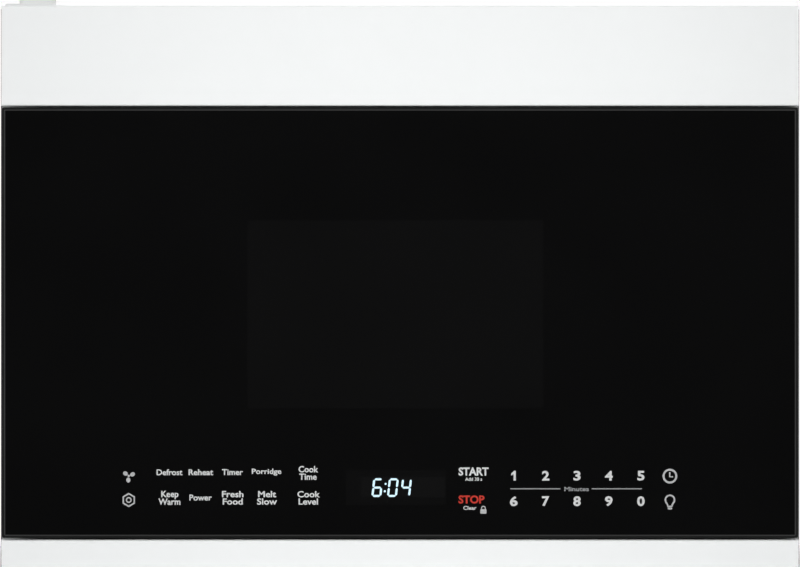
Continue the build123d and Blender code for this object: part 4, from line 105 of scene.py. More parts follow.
WELD = 0.0005 * MM  # points nearer to one another than this become one
REPEAT_WELD = 0.002 * MM  # the same, between repeated cells
CREASE = 35.0  # angle in degrees above which an edge stays sharp
INK_CREASE = 30.0  # the same, on printing
INK_DEPTHS = (-200.905 * MM, -200.975 * MM)  # rear and front of the printing, along Y

Colour = tuple[float, float, float]
Place = tuple[float, float, float]
Point2 = tuple[float, float]
Line = tuple[Point2, Point2]

EVEN: Place = (1.0, 1.0, 1.0)
WHITE: Colour = (1.0, 1.0, 1.0)


# ---- Writing node trees ---------------------------------------------------------------
class NodeWriter:
    """Adds nodes to one tree, fills their inputs and links them."""

    def __init__(self, tree: bpy.types.NodeTree) -> None:
        """Starts on an empty tree.

        Args:
            tree: The tree to write; what it holds is cleared.
        """
        self.tree = tree
        tree.nodes.clear()

    def add(
        self, kind: str, inputs: dict[int | str, Any] | None = None, **settings: Any
    ) -> bpy.types.Node:
        """Adds one node.

        Args:
            kind: Blender's name of the node type.
            inputs: Value, socket or node for each input, by name or index.
            **settings: Properties of the node itself.

        Returns:
            The new node.
        """
        node = self.tree.nodes.new(kind)
        for key, value in settings.items():
            setattr(node, key, value)
        for key, value in (inputs or {}).items():
            self.fill(node.inputs[key], value)
        return node

    def fill(self, socket: bpy.types.NodeSocket, value: Any) -> None:
        """Sets an input to a constant, or links it to a socket or a node's first output.

        Args:
            socket: The input.
            value: A constant, a socket or a node.
        """
        if isinstance(value, bpy.types.Node):
            value = value.outputs[0]
        if isinstance(value, bpy.types.NodeSocket):
            self.tree.links.new(value, socket)
        elif socket.type == "RGBA":
            socket.default_value = (*value[:3], 1.0)
        else:
            socket.default_value = value

    def sum(self, kind: str, a: Any, b: Any = 0.0) -> bpy.types.NodeSocket:
        """One step of arithmetic, such as ADD or MULTIPLY, on two values."""
        return self.add("ShaderNodeMath", {0: a, 1: b}, operation=kind).outputs[0]


class ShaderWriter(NodeWriter):
    """Writer of a material, with the patterns that the finishes share."""

    def place(self, stretch: Place = EVEN) -> bpy.types.NodeSocket:
        """Object coordinates, in metres, stretched along the axes.

        Args:
            stretch: Stretch along each axis.

        Returns:
            The coordinates.
        """
        spot = self.add("ShaderNodeTexCoord").outputs["Object"]
        if stretch == EVEN:
            return spot
        return self.add("ShaderNodeMapping", {"Vector": spot, "Scale": stretch}).outputs[0]

    def noise(
        self, size: float, detail: float = 2.0, stretch: Place = EVEN
    ) -> bpy.types.NodeSocket:
        """Cloudy pattern from 0 to 1.

        Args:
            size: Length of one cloud, in metres.
            detail: Octaves of finer clouds.
            stretch: Stretch of the pattern along the axes.

        Returns:
            The pattern's value.
        """
        return self.add(
            "ShaderNodeTexNoise",
            {"Vector": self.place(stretch), "Scale": 1 / size, "Detail": detail},
        ).outputs[0]

    def cells(
        self, size: float, stretch: Place = EVEN, feature: str = "F1"
    ) -> bpy.types.Node:
        """Voronoi cells of about one size."""
        return self.add(
            "ShaderNodeTexVoronoi",
            {"Vector": self.place(stretch), "Scale": 1 / size},
            feature=feature,
        )

    def picks(self, size: float) -> bpy.types.NodeOutputs:
        """Three values of its own for each cell of about one size."""
        return self.add(
            "ShaderNodeSeparateColor", {0: self.cells(size).outputs["Color"]}
        ).outputs

    def spread(
        self, value: Any, low: float, high: float, span: Point2 = (0.3, 0.7)
    ) -> bpy.types.NodeSocket:
        """Maps a value from span to low and high, smoothly.

        Args:
            value: The value to map.
            low: Result at the start of span.
            high: Result at the end of span.
            span: Range of the value that is used.

        Returns:
            The mapped value.
        """
        return self.add(
            "ShaderNodeMapRange",
            {0: value, 1: span[0], 2: span[1], 3: low, 4: high},
            interpolation_type="SMOOTHSTEP",
        ).outputs[0]

    def blend(self, share: Any, first: Any, second: Any) -> bpy.types.NodeSocket:
        """Mixes two colours by a share from 0 to 1."""
        return self.add(
            "ShaderNodeMix", {0: share, 6: first, 7: second}, data_type="RGBA"
        ).outputs[2]

    def patch(
        self, centre: Point2, size: Point2, soft: float
    ) -> bpy.types.NodeSocket:
        """1 inside a rectangle of the XZ plane and 0 outside it.

        Args:
            centre: Middle of the rectangle.
            size: Width and height.
            soft: Width of its blurred edge.

        Returns:
            The mask.
        """
        axes = self.add("ShaderNodeSeparateXYZ", {0: self.place()})
        sides = [
            self.spread(
                self.sum("ABSOLUTE", self.sum("SUBTRACT", axes.outputs[axis], middle)),
                1.0,
                0.0,
                (extent / 2 - soft / 2, extent / 2 + soft / 2),
            )
            for axis, middle, extent in zip((0, 2), centre, size)
        ]
        return self.sum("MULTIPLY", *sides)


# ---- Finishes -------------------------------------------------------------------------
@dataclass(frozen=True)
class Finish:
    """One surface finish, laid on Object coordinates.

    Attributes:
        name: Name of the material.
        colour: Linear base colour.
        roughness: Mean roughness.
        metallic: 0 for plastics and paint, 1 for metal.
        specular: Level of the plain reflection.
        coat: Weight of a clear coat.
        clear: Share of light that goes through.
        grain: Size of the finest relief.
        relief: Depth of that relief.
        mottle: Share by which the colour wanders.
        cloud: Size of the colour's clouds.
        uneven: Amount by which the roughness wanders.
        stretch: Stretch of the patterns along the axes.
    """

    name: str
    colour: Colour
    roughness: float = 0.45
    metallic: float = 0.0
    specular: float = 0.5
    coat: float = 0.0
    clear: float = 0.0
    grain: float = 1.2 * MM
    relief: float = 0.006 * MM
    mottle: float = 0.03
    cloud: float = 90 * MM
    uneven: float = 0.05
    stretch: Place = EVEN

    def shade(self, factor: float) -> Colour:
        """The base colour, lighter or darker."""
        return tuple(min(1.0, part * factor) for part in self.colour)

    def tone(self, write: ShaderWriter) -> Any:
        """Colour over the surface: slow clouds of a lighter and a darker shade."""
        clouds = write.spread(write.noise(self.cloud, 3.0), 0.0, 1.0)
        return write.blend(clouds, self.shade(1 - self.mottle), self.shade(1 + self.mottle))

    def height(self, write: ShaderWriter) -> Any:
        """Relief over the surface, from 0 to 1."""
        return write.noise(self.grain, 3.0, self.stretch)

    def gloss(self, write: ShaderWriter) -> Any:
        """Roughness over the surface."""
        return write.spread(
            write.noise(self.cloud / 3, 3.0, self.stretch),
            max(0.0, self.roughness - self.uneven),
            self.roughness + self.uneven,
        )

    def extras(self) -> dict[str, Any]:
        """Constant inputs that only some finishes need."""
        return {}

    def material(self) -> bpy.types.Material:
        """Makes the material at its first use.

        Returns:
            The material of this finish.
        """
        found = bpy.data.materials.get(self.name)
        if found is not None:
            return found
        made = bpy.data.materials.new(self.name)
        made.use_nodes = True
        made.diffuse_color = (*self.colour, 1.0)
        write = ShaderWriter(made.node_tree)
        bump = write.add(
            "ShaderNodeBump",
            {"Strength": 1.0, "Distance": self.relief, "Height": self.height(write)},
        )
        shader = write.add(
            "ShaderNodeBsdfPrincipled",
            {
                "Base Color": self.tone(write),
                "Roughness": self.gloss(write),
                "Metallic": self.metallic,
                "Specular IOR Level": self.specular,
                "Coat Weight": self.coat,
                "Transmission Weight": self.clear,
                "Normal": bump,
                **self.extras(),
            },
        )
        write.add("ShaderNodeOutputMaterial", {"Surface": shader})
        return made


@dataclass(frozen=True)
class Moulded(Finish):
    """Injection moulding: a fine eroded grain over a long, faint flow pattern.

    Attributes:
        flow: Length of one wave of the flow pattern.
    """

    flow: float = 60 * MM

    def height(self, write: ShaderWriter) -> Any:
        """Fine grain with the mould's faint waves."""
        waves = write.noise(self.flow, 1.0)
        return write.sum(
            "ADD",
            write.sum("MULTIPLY", write.noise(self.grain, 4.0), 0.8),
            write.sum("MULTIPLY", waves, 0.2),
        )


@dataclass(frozen=True)
class PaintedSheet(Finish):
    """Sheet painted before it was cut; its bare front edge is darkened further as painted
    shade between the door and the cabinet.

    Attributes:
        bare_edge_and_shade: Colour of the bare edge, darker than bare steel as painted shade
            between the door and the cabinet.
        cut_plane: Place along Y ahead of which the sheet is cut.
    """

    # bare cut edge, much darker than bare steel: painted shade between the door and the
    # cabinet
    bare_edge_and_shade: Colour = (0.13, 0.13, 0.13)
    cut_plane: float = -154.6 * MM

    def tone(self, write: ShaderWriter) -> Any:
        """Paint with its clouds, and the bare edge in front, darkened as painted shade.

        Args:
            write: Writer of the material.

        Returns:
            The colour.
        """
        axes = write.add("ShaderNodeSeparateXYZ", {0: write.place()})
        # ahead of the cut plane: the bare edge with its painted shade
        ahead = write.sum("LESS_THAN", axes.outputs[1], self.cut_plane)
        return write.blend(ahead, Finish.tone(self, write), self.bare_edge_and_shade)


@dataclass(frozen=True)
class Galvanised(Finish):
    """Zinc coated sheet: flat crystals that differ in tone and in gloss.

    Attributes:
        crystal: Size of one crystal.
    """

    crystal: float = 9 * MM

    def tone(self, write: ShaderWriter) -> Any:
        """One shade to each crystal, under faint clouds.

        Args:
            write: Writer of the material.

        Returns:
            The colour.
        """
        picks = write.picks(self.crystal)
        shade = write.blend(picks[0], self.shade(0.9), self.shade(1.08))
        return write.blend(
            write.spread(write.noise(self.cloud, 4.0), 0.0, 0.35), shade, self.shade(0.8)
        )

    def gloss(self, write: ShaderWriter) -> Any:
        """One roughness to each crystal."""
        return write.spread(
            write.picks(self.crystal)[1],
            self.roughness - self.uneven,
            self.roughness + self.uneven,
            (0.0, 1.0),
        )


@dataclass(frozen=True)
class Granules(Finish):
    """Loose granules pressed into a mat."""

    def tone(self, write: ShaderWriter) -> Any:
        """Each granule its own grey."""
        return write.blend(write.picks(self.grain)[0], self.shade(0.5), self.shade(2.2))

    def height(self, write: ShaderWriter) -> Any:
        """Round granules with deep gaps."""
        return write.spread(write.cells(self.grain).outputs[0], 1.0, 0.0, (0.0, 0.8))


@dataclass(frozen=True)
class Banded(Finish):
    """Stacked sheets or laid wire: fine bands across one axis.

    Attributes:
        band: Pitch of the bands.
        across: Axis that the bands cross, "X", "Y" or "Z".
        dark: Share of the colour that is left between the bands.
    """

    band: float = 1.0 * MM
    across: str = "Z"
    dark: float = 0.5

    def bands(self, write: ShaderWriter) -> Any:
        """The bands, 0 in the gaps and 1 on the crests."""
        period = 2 * math.pi / 20  # the wave texture turns once in this length
        return write.add(
            "ShaderNodeTexWave",
            {"Vector": write.place(), "Scale": period / self.band, "Distortion": 0.15},
            bands_direction=self.across,
        ).outputs[1]

    def tone(self, write: ShaderWriter) -> Any:
        """Darker gaps between the bands, under the usual clouds.

        Args:
            write: Writer of the material.

        Returns:
            The colour.
        """
        clouds = Finish.tone(self, write)
        gaps = write.spread(self.bands(write), 1.0, 0.0, (0.0, 0.45))
        return write.blend(gaps, clouds, self.shade(self.dark))

    def height(self, write: ShaderWriter) -> Any:
        """Rounded bands."""
        return self.bands(write)


@dataclass(frozen=True)
class Circuit(Finish):
    """Solder mask over copper tracks.

    Attributes:
        track: Size of the fields between the tracks.
    """

    track: float = 5 * MM

    def lanes(self, write: ShaderWriter) -> Any:
        """1 on a track and 0 beside it."""
        edge = write.cells(self.track, feature="DISTANCE_TO_EDGE")
        return write.spread(edge.outputs[0], 1.0, 0.0, (0.08, 0.12))

    def tone(self, write: ShaderWriter) -> Any:
        """Lighter mask over the tracks."""
        return write.blend(self.lanes(write), Finish.tone(self, write), self.shade(1.9))

    def height(self, write: ShaderWriter) -> Any:
        """Tracks stand a little proud."""
        return self.lanes(write)


@dataclass(frozen=True)
class Zone:
    """A rectangle of the printed glass that is a little lighter than the rest.

    Attributes:
        centre: Middle, across and up.
        size: Width and height.
        lift: What it adds to the base colour.
        soft: Width of its edge.
    """

    centre: Point2
    size: Point2
    lift: float
    soft: float = 1.2 * MM


@dataclass(frozen=True)
class PrintedGlass(Finish):
    """Glass printed black on its rear face, thinner over the display and window.

    Attributes:
        zones: The places where the print is thinner.
    """

    zones: tuple[Zone, ...] = ()

    def tone(self, write: ShaderWriter) -> Any:
        """Black print with its lighter zones.

        Args:
            write: Writer of the material.

        Returns:
            The colour.
        """
        light: Any = write.spread(write.noise(self.cloud, 2.0), 0.0, 0.0004)
        for zone in self.zones:
            mask = write.patch(zone.centre, zone.size, zone.soft)
            light = write.sum("ADD", light, write.sum("MULTIPLY", mask, zone.lift))
        grey = write.add("ShaderNodeCombineColor", {0: light, 1: light, 2: light})
        return write.add(
            "ShaderNodeMix",
            {0: 1.0, 6: self.colour, 7: grey},
            data_type="RGBA",
            blend_type="ADD",
        ).outputs[2]


@dataclass(frozen=True)
class Pane(Finish):
    """Clear or frosted glass, or a clear moulding.

    Attributes:
        bend: Index of refraction.
    """

    bend: float = 1.5

    def extras(self) -> dict[str, Any]:
        """Index of refraction."""
        return {"IOR": self.bend}


@dataclass(frozen=True)
class Lit(Finish):
    """Ink or segments that give light of their own.

    Attributes:
        strength: Strength of that light.
    """

    strength: float = 1.0

    def extras(self) -> dict[str, Any]:
        """Light of the base colour."""
        return {"Emission Color": (*self.colour, 1.0), "Emission Strength": self.strength}


def ink(name: str, colour: Colour, mottle: float = 0.05) -> Finish:
    """Matt printing ink.

    Args:
        name: Name of the material.
        colour: Its colour.
        mottle: Share by which the colour wanders.

    Returns:
        The finish.
    """
    return Finish(
        name, colour, 0.55, specular=0.25, grain=0.12 * MM, relief=0.002 * MM,
        mottle=mottle, cloud=4 * MM,
    )


WHITE_PAINT = PaintedSheet(
    "white_painted_sheet", (0.83, 0.84, 0.84), 0.34, coat=0.15, relief=0.007 * MM,
    mottle=0.006, uneven=0.02,
)
WHITE_MOULDING = Moulded(
    "white_moulding", (0.865, 0.88, 0.88), 0.3, grain=0.5 * MM, relief=0.003 * MM,
    mottle=0.003, uneven=0.01,
)
# Painted light: the white moulding made lighter for the lower strip, which gets less light
# from below than the band above; the real strip is likely the same white as the band.
LOWER_TRIM_PAINTED_LIGHT = replace(
    WHITE_MOULDING, name="lower_trim_painted_light", colour=(0.915, 0.93, 0.93)
)
GALVANISED = Galvanised(
    "galvanised_sheet", (0.56, 0.57, 0.58), 0.42, metallic=1.0, relief=0.01 * MM, uneven=0.09,
)
BLACK_GLASS = PrintedGlass(
    "black_printed_glass", (0.0022, 0.0022, 0.0023), 0.03, grain=220 * MM,
    relief=0.02 * MM, uneven=0.008,
    zones=(
        Zone((-3.6 * MM, 196.2 * MM), (224 * MM, 142.5 * MM), 0.0011, 2.0 * MM),
        Zone((-3.0 * MM, 64.8 * MM), (75.8 * MM, 26.5 * MM), 0.0011),
        Zone((2.2 * MM, 65.1 * MM), (63.7 * MM, 15.2 * MM), 0.0016),
    ),
)
GROUND_EDGE = Finish(
    "ground_glass_edge", (0.004, 0.0045, 0.0045), 0.42, specular=0.3, grain=0.3 * MM,
    relief=0.006 * MM, mottle=0.2,
)
POLISHED_EDGE = Finish(
    "polished_glass_edge", (0.006, 0.0065, 0.0065), 0.12, grain=8 * MM,
    relief=0.004 * MM, mottle=0.2, uneven=0.03,
)
LEGEND_INK = ink("pale_grey_ink", (0.60, 0.61, 0.61))
ICON_INK = ink("soft_grey_ink", (0.44, 0.445, 0.45))
LINE_INK = ink("mid_grey_ink", (0.27, 0.275, 0.28))
STOP_INK = ink("red_ink", (0.50, 0.038, 0.025), mottle=0.06)
LIT_SEGMENT = Lit(
    "lit_segment", (0.55, 0.75, 0.84), 0.5, specular=0.2, grain=0.2 * MM,
    relief=0.002 * MM, mottle=0.05, cloud=3 * MM, strength=0.34,
)
BLACK_MOULDING = Moulded(
    "black_moulding", (0.022, 0.022, 0.023), 0.5, grain=0.35 * MM, relief=0.005 * MM,
    mottle=0.06, uneven=0.02,
)
ENAMEL = Finish(
    "cavity_enamel", (0.60, 0.61, 0.60), 0.36, coat=0.1, grain=0.9 * MM,
    relief=0.01 * MM, mottle=0.02,
)
BLACK_COAT = Finish(
    "black_coated_steel", (0.03, 0.03, 0.031), 0.45, grain=0.6 * MM, relief=0.008 * MM,
    mottle=0.15,
)
CLEAR_PANE = Pane(
    "clear_inner_pane", (0.93, 0.96, 0.96), 0.03, clear=1.0, grain=90 * MM,
    relief=0.01 * MM, uneven=0.01,
)
TRAY_GLASS = Pane(
    "pressed_glass", (0.90, 0.955, 0.945), 0.05, clear=1.0, grain=24 * MM,
    relief=0.05 * MM, uneven=0.02,
)
BULB_GLASS = Pane(
    "bulb_glass", (0.96, 0.96, 0.92), 0.04, clear=0.92, grain=10 * MM, relief=0.02 * MM,
    uneven=0.01,
)
MICA = Finish(
    "mica_sheet", (0.42, 0.38, 0.31), 0.3, coat=0.3, grain=3.5 * MM, relief=0.01 * MM,
    mottle=0.16, cloud=9 * MM,
)
GREY_MOULDING = Moulded(
    "grey_moulding", (0.50, 0.50, 0.49), 0.42, grain=0.5 * MM, relief=0.006 * MM,
)
ALUMINIUM = Finish(
    "bare_aluminium", (0.72, 0.73, 0.74), 0.33, metallic=1.0, grain=1.2 * MM,
    relief=0.006 * MM, mottle=0.05, stretch=(1.0, 0.08, 1.0), uneven=0.08,
)
CHARCOAL = Granules(
    "charcoal_granules", (0.012, 0.012, 0.012), 0.8, grain=3 * MM, relief=0.6 * MM,
)
ZINC_STEEL = Finish(
    "zinc_plated_steel", (0.52, 0.525, 0.53), 0.3, metallic=1.0, grain=0.7 * MM,
    relief=0.004 * MM, mottle=0.06, cloud=20 * MM, uneven=0.08,
)
LAMINATIONS = Banded(
    "varnished_laminations", (0.16, 0.13, 0.11), 0.4, metallic=0.6, relief=0.05 * MM,
    band=1.2 * MM, across="Y", dark=0.45,
)
COPPER_WIRE = Banded(
    "enamelled_wire", (0.50, 0.19, 0.07), 0.28, metallic=0.8, relief=0.25 * MM,
    band=1.3 * MM, dark=0.3, coat=0.4,
)
SOLDER_MASK = Circuit(
    "green_solder_mask", (0.02, 0.12, 0.045), 0.32, relief=0.03 * MM, mottle=0.1,
)
DISPLAY_WINDOW = Finish(
    "display_window", (0.012, 0.012, 0.013), 0.12, grain=4 * MM, relief=0.004 * MM,
    mottle=0.2, uneven=0.03,
)
FAN_MOULDING = Moulded(
    "fan_moulding", (0.05, 0.05, 0.055), 0.45, grain=0.5 * MM, relief=0.008 * MM, mottle=0.1,
)
PRESSED_WHEEL = Finish(
    "pressed_wheel_sheet", (0.60, 0.61, 0.62), 0.38, metallic=1.0, grain=2 * MM,
    relief=0.01 * MM, mottle=0.06, uneven=0.1,
)
DIFFUSER = Pane(
    "frosted_diffuser", (0.86, 0.87, 0.85), 0.42, clear=0.18, grain=0.6 * MM,
    relief=0.03 * MM,
)
CERAMIC = Finish(
    "white_ceramic", (0.78, 0.77, 0.73), 0.5, coat=0.2, grain=0.5 * MM, relief=0.01 * MM,
)


# ---- Building meshes ------------------------------------------------------------------
def stand(name: str, data: bpy.types.ID) -> bpy.types.Object:
    """Puts new data in the scene, at the origin.

    Args:
        name: Name of the object.
        data: Its mesh, lettering, lamp or camera.

    Returns:
        The object.
    """
    made = bpy.data.objects.new(name, data)
    bpy.context.scene.collection.objects.link(made)
    return made


def evaluated(holder: bpy.types.Object) -> bpy.types.Mesh:
    """Turns an object and its modifiers into a plain mesh.

    Args:
        holder: The object; it is used up with its data.

    Returns:
        The mesh.
    """
    graph = bpy.context.evaluated_depsgraph_get()
    made = bpy.data.meshes.new_from_object(holder.evaluated_get(graph), depsgraph=graph)
    bpy.data.batch_remove([holder, holder.data])
    return made


def soften(mesh: bpy.types.Mesh, crease: float = CREASE) -> None:
    """Shades a mesh smooth between its sharp edges.

    Args:
        mesh: The mesh.
        crease: Angle in degrees above which an edge stays sharp.
    """
    for polygon in mesh.polygons:
        polygon.use_smooth = True
    mesh.set_sharp_from_angle(angle=math.radians(crease))


def rounded_rectangle(
    centre: Point2, size: Point2, radius: float, steps: int = 4
) -> list[Point2]:
    """Outline of a rectangle with round corners, counter-clockwise.

    Args:
        centre: Middle of the rectangle.
        size: Width and height.
        radius: Radius of its corners.
        steps: Points on each corner, less one.

    Returns:
        The outline's points, the same number for every size.
    """
    points = []
    for quarter, (side, rise) in enumerate(((1, 1), (-1, 1), (-1, -1), (1, -1))):
        for step in range(steps + 1):
            angle = math.pi / 2 * (quarter + step / steps)
            points.append(
                (
                    centre[0] + side * (size[0] / 2 - radius) + radius * math.cos(angle),
                    centre[1] + rise * (size[1] / 2 - radius) + radius * math.sin(angle),
                )
            )
    return points


def ring(centre: Point2, radius: float, count: int, start: float = 0.0) -> list[Point2]:
    """Points on a circle, counter-clockwise.

    Args:
        centre: Middle of the circle.
        radius: Its radius.
        count: Number of points.
        start: Angle of the first point.

    Returns:
        The points.
    """
    turn = 2 * math.pi / count
    return [
        (
            centre[0] + radius * math.cos(start + turn * step),
            centre[1] + radius * math.sin(start + turn * step),
        )
        for step in range(count)
    ]


def stroke(path: Sequence[Point2], width: float, closed: bool) -> tuple[list, list]:
    """The two sides of a line of one width.

    Args:
        path: Middle of the line.
        width: Width of the line.
        closed: Whether its end joins its start.

    Returns:
        Left and right side, each with as many points as the path.
    """
    count = len(path)
    left, right = [], []
    for index, point in enumerate(path):
        before = path[index - 1] if closed or index else point
        after = path[(index + 1) % count] if closed or index < count - 1 else point
        along = Vector((after[0] - before[0], after[1] - before[1])).normalized()
        off = Vector((-along.y, along.x)) * width / 2
        left.append((point[0] + off.x, point[1] + off.y))
        right.append((point[0] - off.x, point[1] - off.y))
    return left, right


class Workpiece:
    """A mesh in the making, with one material index to each finish laid on it."""

    def __init__(self, name: str) -> None:
        """Starts an empty mesh.

        Args:
            name: Name of the piece.
        """
        self.name = name
        self.mesh = bmesh.new()
        self.finishes: list[Finish] = []

    def index(self, finish: Finish) -> int:
        """Material index of a finish on this piece.

        Args:
            finish: The finish.

        Returns:
            Its index.
        """
        if finish not in self.finishes:
            self.finishes.append(finish)
        return self.finishes.index(finish)

    def face(self, corners: Iterable[bmesh.types.BMVert], finish: Finish) -> None:
        """Adds one face."""
        self.mesh.faces.new(list(corners)).material_index = self.index(finish)

    def loft(
        self,
        loops: Sequence[Sequence[Sequence[float]]],
        finishes: Sequence[Finish],
        caps: tuple[bool, bool] = (True, True),
        ring_closed: bool = False,
    ) -> None:
        """Joins closed loops of as many points each.

        Args:
            loops: The loops, from first to last.
            finishes: One finish for every band and for the last cap, or one for all.
            caps: Whether the first and the last loop are filled.
            ring_closed: Whether the last loop is joined to the first.
        """
        rows = [[self.mesh.verts.new(point) for point in loop] for loop in loops]
        pairs = list(zip(rows, rows[1:])) + ([(rows[-1], rows[0])] if ring_closed else [])
        for band, (low, high) in enumerate(pairs):
            finish = finishes[min(band, len(finishes) - 1)]
            for step in range(len(low)):
                after = (step + 1) % len(low)
                self.face((low[step], low[after], high[after], high[step]), finish)
        if caps[0]:
            self.face(reversed(rows[0]), finishes[0])
        if caps[1]:
            self.face(rows[-1], finishes[-1])

    def plate(
        self,
        outline: Sequence[Point2],
        depths: Point2,
        finish: Finish,
        hole: Sequence[Point2] | None = None,
    ) -> None:
        """Adds a flat plate that faces -Y.

        Args:
            outline: Outer outline, across and up.
            depths: Rear and front of the plate, along Y.
            finish: Its finish.
            hole: Outline of a hole in it, with as many points.
        """
        rear, front = depths
        outer = [[(x, y, z) for x, z in outline] for y in (rear, front)]
        if hole is None:
            self.loft(outer, (finish,))
            return
        inner = [[(x, y, z) for x, z in hole] for y in (front, rear)]
        self.loft([*outer, *inner], (finish,), (False, False), ring_closed=True)

    def turned(
        self,
        profile: Sequence[Point2],
        centre: Point2,
        count: int,
        finish: Finish,
    ) -> None:
        """Turns an open profile, from axis to axis, about an upright axis.

        Args:
            profile: Radius and height of its points; the first and last lie on the axis.
            centre: Where the axis stands.
            count: Number of steps round the axis.
            finish: Its finish.
        """
        rows = [
            [self.mesh.verts.new((x, y, height)) for x, y in ring(centre, radius, count)]
            for radius, height in profile[1:-1]
        ]
        poles = [
            self.mesh.verts.new((*centre, profile[index][1])) for index in (0, -1)
        ]
        for step in range(count):
            after = (step + 1) % count
            self.face((poles[0], rows[0][after], rows[0][step]), finish)
            for low, high in zip(rows, rows[1:]):
                self.face((low[step], low[after], high[after], high[step]), finish)
            self.face((poles[1], rows[-1][step], rows[-1][after]), finish)

    def take(self, mesh: bpy.types.Mesh, move: Matrix, finish: Finish) -> None:
        """Adds a finished mesh in its place and removes the original.

        Args:
            mesh: The mesh.
            move: Its place.
            finish: Its finish.
        """
        first_vert, first_face = len(self.mesh.verts), len(self.mesh.faces)
        self.mesh.from_mesh(mesh)
        self.mesh.verts.ensure_lookup_table()
        self.mesh.faces.ensure_lookup_table()
        bmesh.ops.transform(self.mesh, matrix=move, verts=self.mesh.verts[first_vert:])
        for face in self.mesh.faces[first_face:]:
            face.material_index = self.index(finish)
        bpy.data.meshes.remove(mesh)

    def plain(self) -> bpy.types.Mesh:
        """Ends the piece as a mesh that has no materials yet.

        Returns:
            The mesh.
        """
        made = bpy.data.meshes.new(self.name)
        self.mesh.to_mesh(made)
        self.mesh.free()
        return made

    def done(
        self,
        body: str,
        replaced: Sequence[str] = (),
        crease: float = CREASE,
    ) -> bpy.types.Object:
        """Closes the mesh and puts it on its body.

        Args:
            body: The body that carries the piece.
            replaced: Nodes that it stands for.
            crease: Angle in degrees above which an edge stays sharp.

        Returns:
            The finished piece.
        """
        bmesh.ops.remove_doubles(self.mesh, verts=self.mesh.verts, dist=WELD)
        bmesh.ops.recalc_face_normals(self.mesh, faces=self.mesh.faces)
        mesh = self.plain()
        for finish in self.finishes:
            mesh.materials.append(finish.material())
        soften(mesh, crease)
        return mount(self.name, mesh, body, replaced)


def mount(
    name: str,
    mesh: bpy.types.Mesh,
    body: str,
    replaced: Sequence[str] = (),
) -> bpy.types.Object:
    """Puts a finished mesh on its body, at the origin.

    Args:
        name: Name of the piece.
        mesh: Its mesh, already in its place.
        body: The body that carries it.
        replaced: Nodes that it stands for.

    Returns:
        The piece.
    """
    piece = stand(name, mesh)
    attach(piece, body)
    if replaced:
        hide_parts(*replaced)
    LOG.info("%s: %d faces on %s", name, len(mesh.polygons), body)
    return piece


# ---- Geometry Nodes -------------------------------------------------------------------
class RepeatTree(NodeWriter):
    """A Geometry Nodes tree with named inputs."""

    def __init__(self, name: str) -> None:
        """Starts the tree with its geometry passing in and out.

        Args:
            name: Name of the tree.
        """
        super().__init__(bpy.data.node_groups.new(name, "GeometryNodeTree"))
        sides = self.tree.interface
        sides.new_socket("Geometry", in_out="INPUT", socket_type="NodeSocketGeometry")
        sides.new_socket("Geometry", in_out="OUTPUT", socket_type="NodeSocketGeometry")
        self.entry = self.add("NodeGroupInput")
        self.exit = self.add("NodeGroupOutput")

    def size(self, name: str, kind: str) -> bpy.types.NodeSocket:
        """Adds a named input.

        Args:
            name: Name of the input.
            kind: Its type, such as Float, Int, Object or Material.

        Returns:
            The socket that carries it inside the tree.
        """
        self.tree.interface.new_socket(
            name, in_out="INPUT", socket_type=f"NodeSocket{kind}"
        )
        return self.entry.outputs[name]

    def close(self, geometry: Any, material: Any) -> None:
        """Ends the tree: instances made real, then the material.

        Args:
            geometry: What the tree has made.
            material: The material that it gets.
        """
        real = self.add("GeometryNodeRealizeInstances", {0: geometry})
        welded = self.add("GeometryNodeMergeByDistance", {0: real, "Distance": REPEAT_WELD})
        dressed = self.add(
            "GeometryNodeSetMaterial", {"Geometry": welded, "Material": material}
        )
        self.fill(self.exit.inputs[0], dressed)

    def run(self, base: bpy.types.Mesh, values: dict[str, Any]) -> bpy.types.Mesh:
        """Runs the tree on a mesh.

        Args:
            base: The mesh that enters the tree; it is used up.
            values: Value of each named input.

        Returns:
            The result as a plain mesh.
        """
        holder = stand("repeat_holder", base)
        step = holder.modifiers.new("repeat", "NODES")
        step.node_group = self.tree
        names = {
            item.name: item.identifier
            for item in self.tree.interface.items_tree
            if item.item_type == "SOCKET" and item.in_out == "INPUT"
        }
        for name, value in values.items():
            step[names[name]] = value
        return evaluated(holder)


def staggered_sheet_tree() -> RepeatTree:
    """Tree that lays one cell in staggered rows.

    Returns:
        The tree, with inputs Columns, Rows, Across, Up, Cell and Finish.
    """
    write = RepeatTree("staggered_sheet")
    columns, rows = write.size("Columns", "Int"), write.size("Rows", "Int")
    across, up = write.size("Across", "Float"), write.size("Up", "Float")
    cell, finish = write.size("Cell", "Object"), write.size("Finish", "Material")
    gaps_x = write.sum("SUBTRACT", columns, 1.0)
    gaps_y = write.sum("SUBTRACT", rows, 1.0)
    grid = write.add(
        "GeometryNodeMeshGrid",
        {
            0: write.sum("MULTIPLY", gaps_x, across),
            1: write.sum("MULTIPLY", gaps_y, up),
            2: columns,
            3: rows,
        },
    )
    height = write.add(
        "ShaderNodeSeparateXYZ", {0: write.add("GeometryNodeInputPosition")}
    ).outputs[1]
    row = write.sum(
        "ROUND",
        write.sum(
            "ADD", write.sum("DIVIDE", height, up), write.sum("MULTIPLY", gaps_y, 0.5)
        ),
    )
    odd = write.sum("MODULO", row, 2.0)
    shift = write.sum("MULTIPLY", write.sum("MULTIPLY", odd, 0.5), across)
    moved = write.add(
        "GeometryNodeSetPosition",
        {"Geometry": grid.outputs[0], "Offset": write.add("ShaderNodeCombineXYZ", {0: shift})},
    )
    laid = write.add(
        "GeometryNodeInstanceOnPoints",
        {"Points": moved, "Instance": object_geometry(write, cell)},
    )
    write.close(laid, finish)
    return write


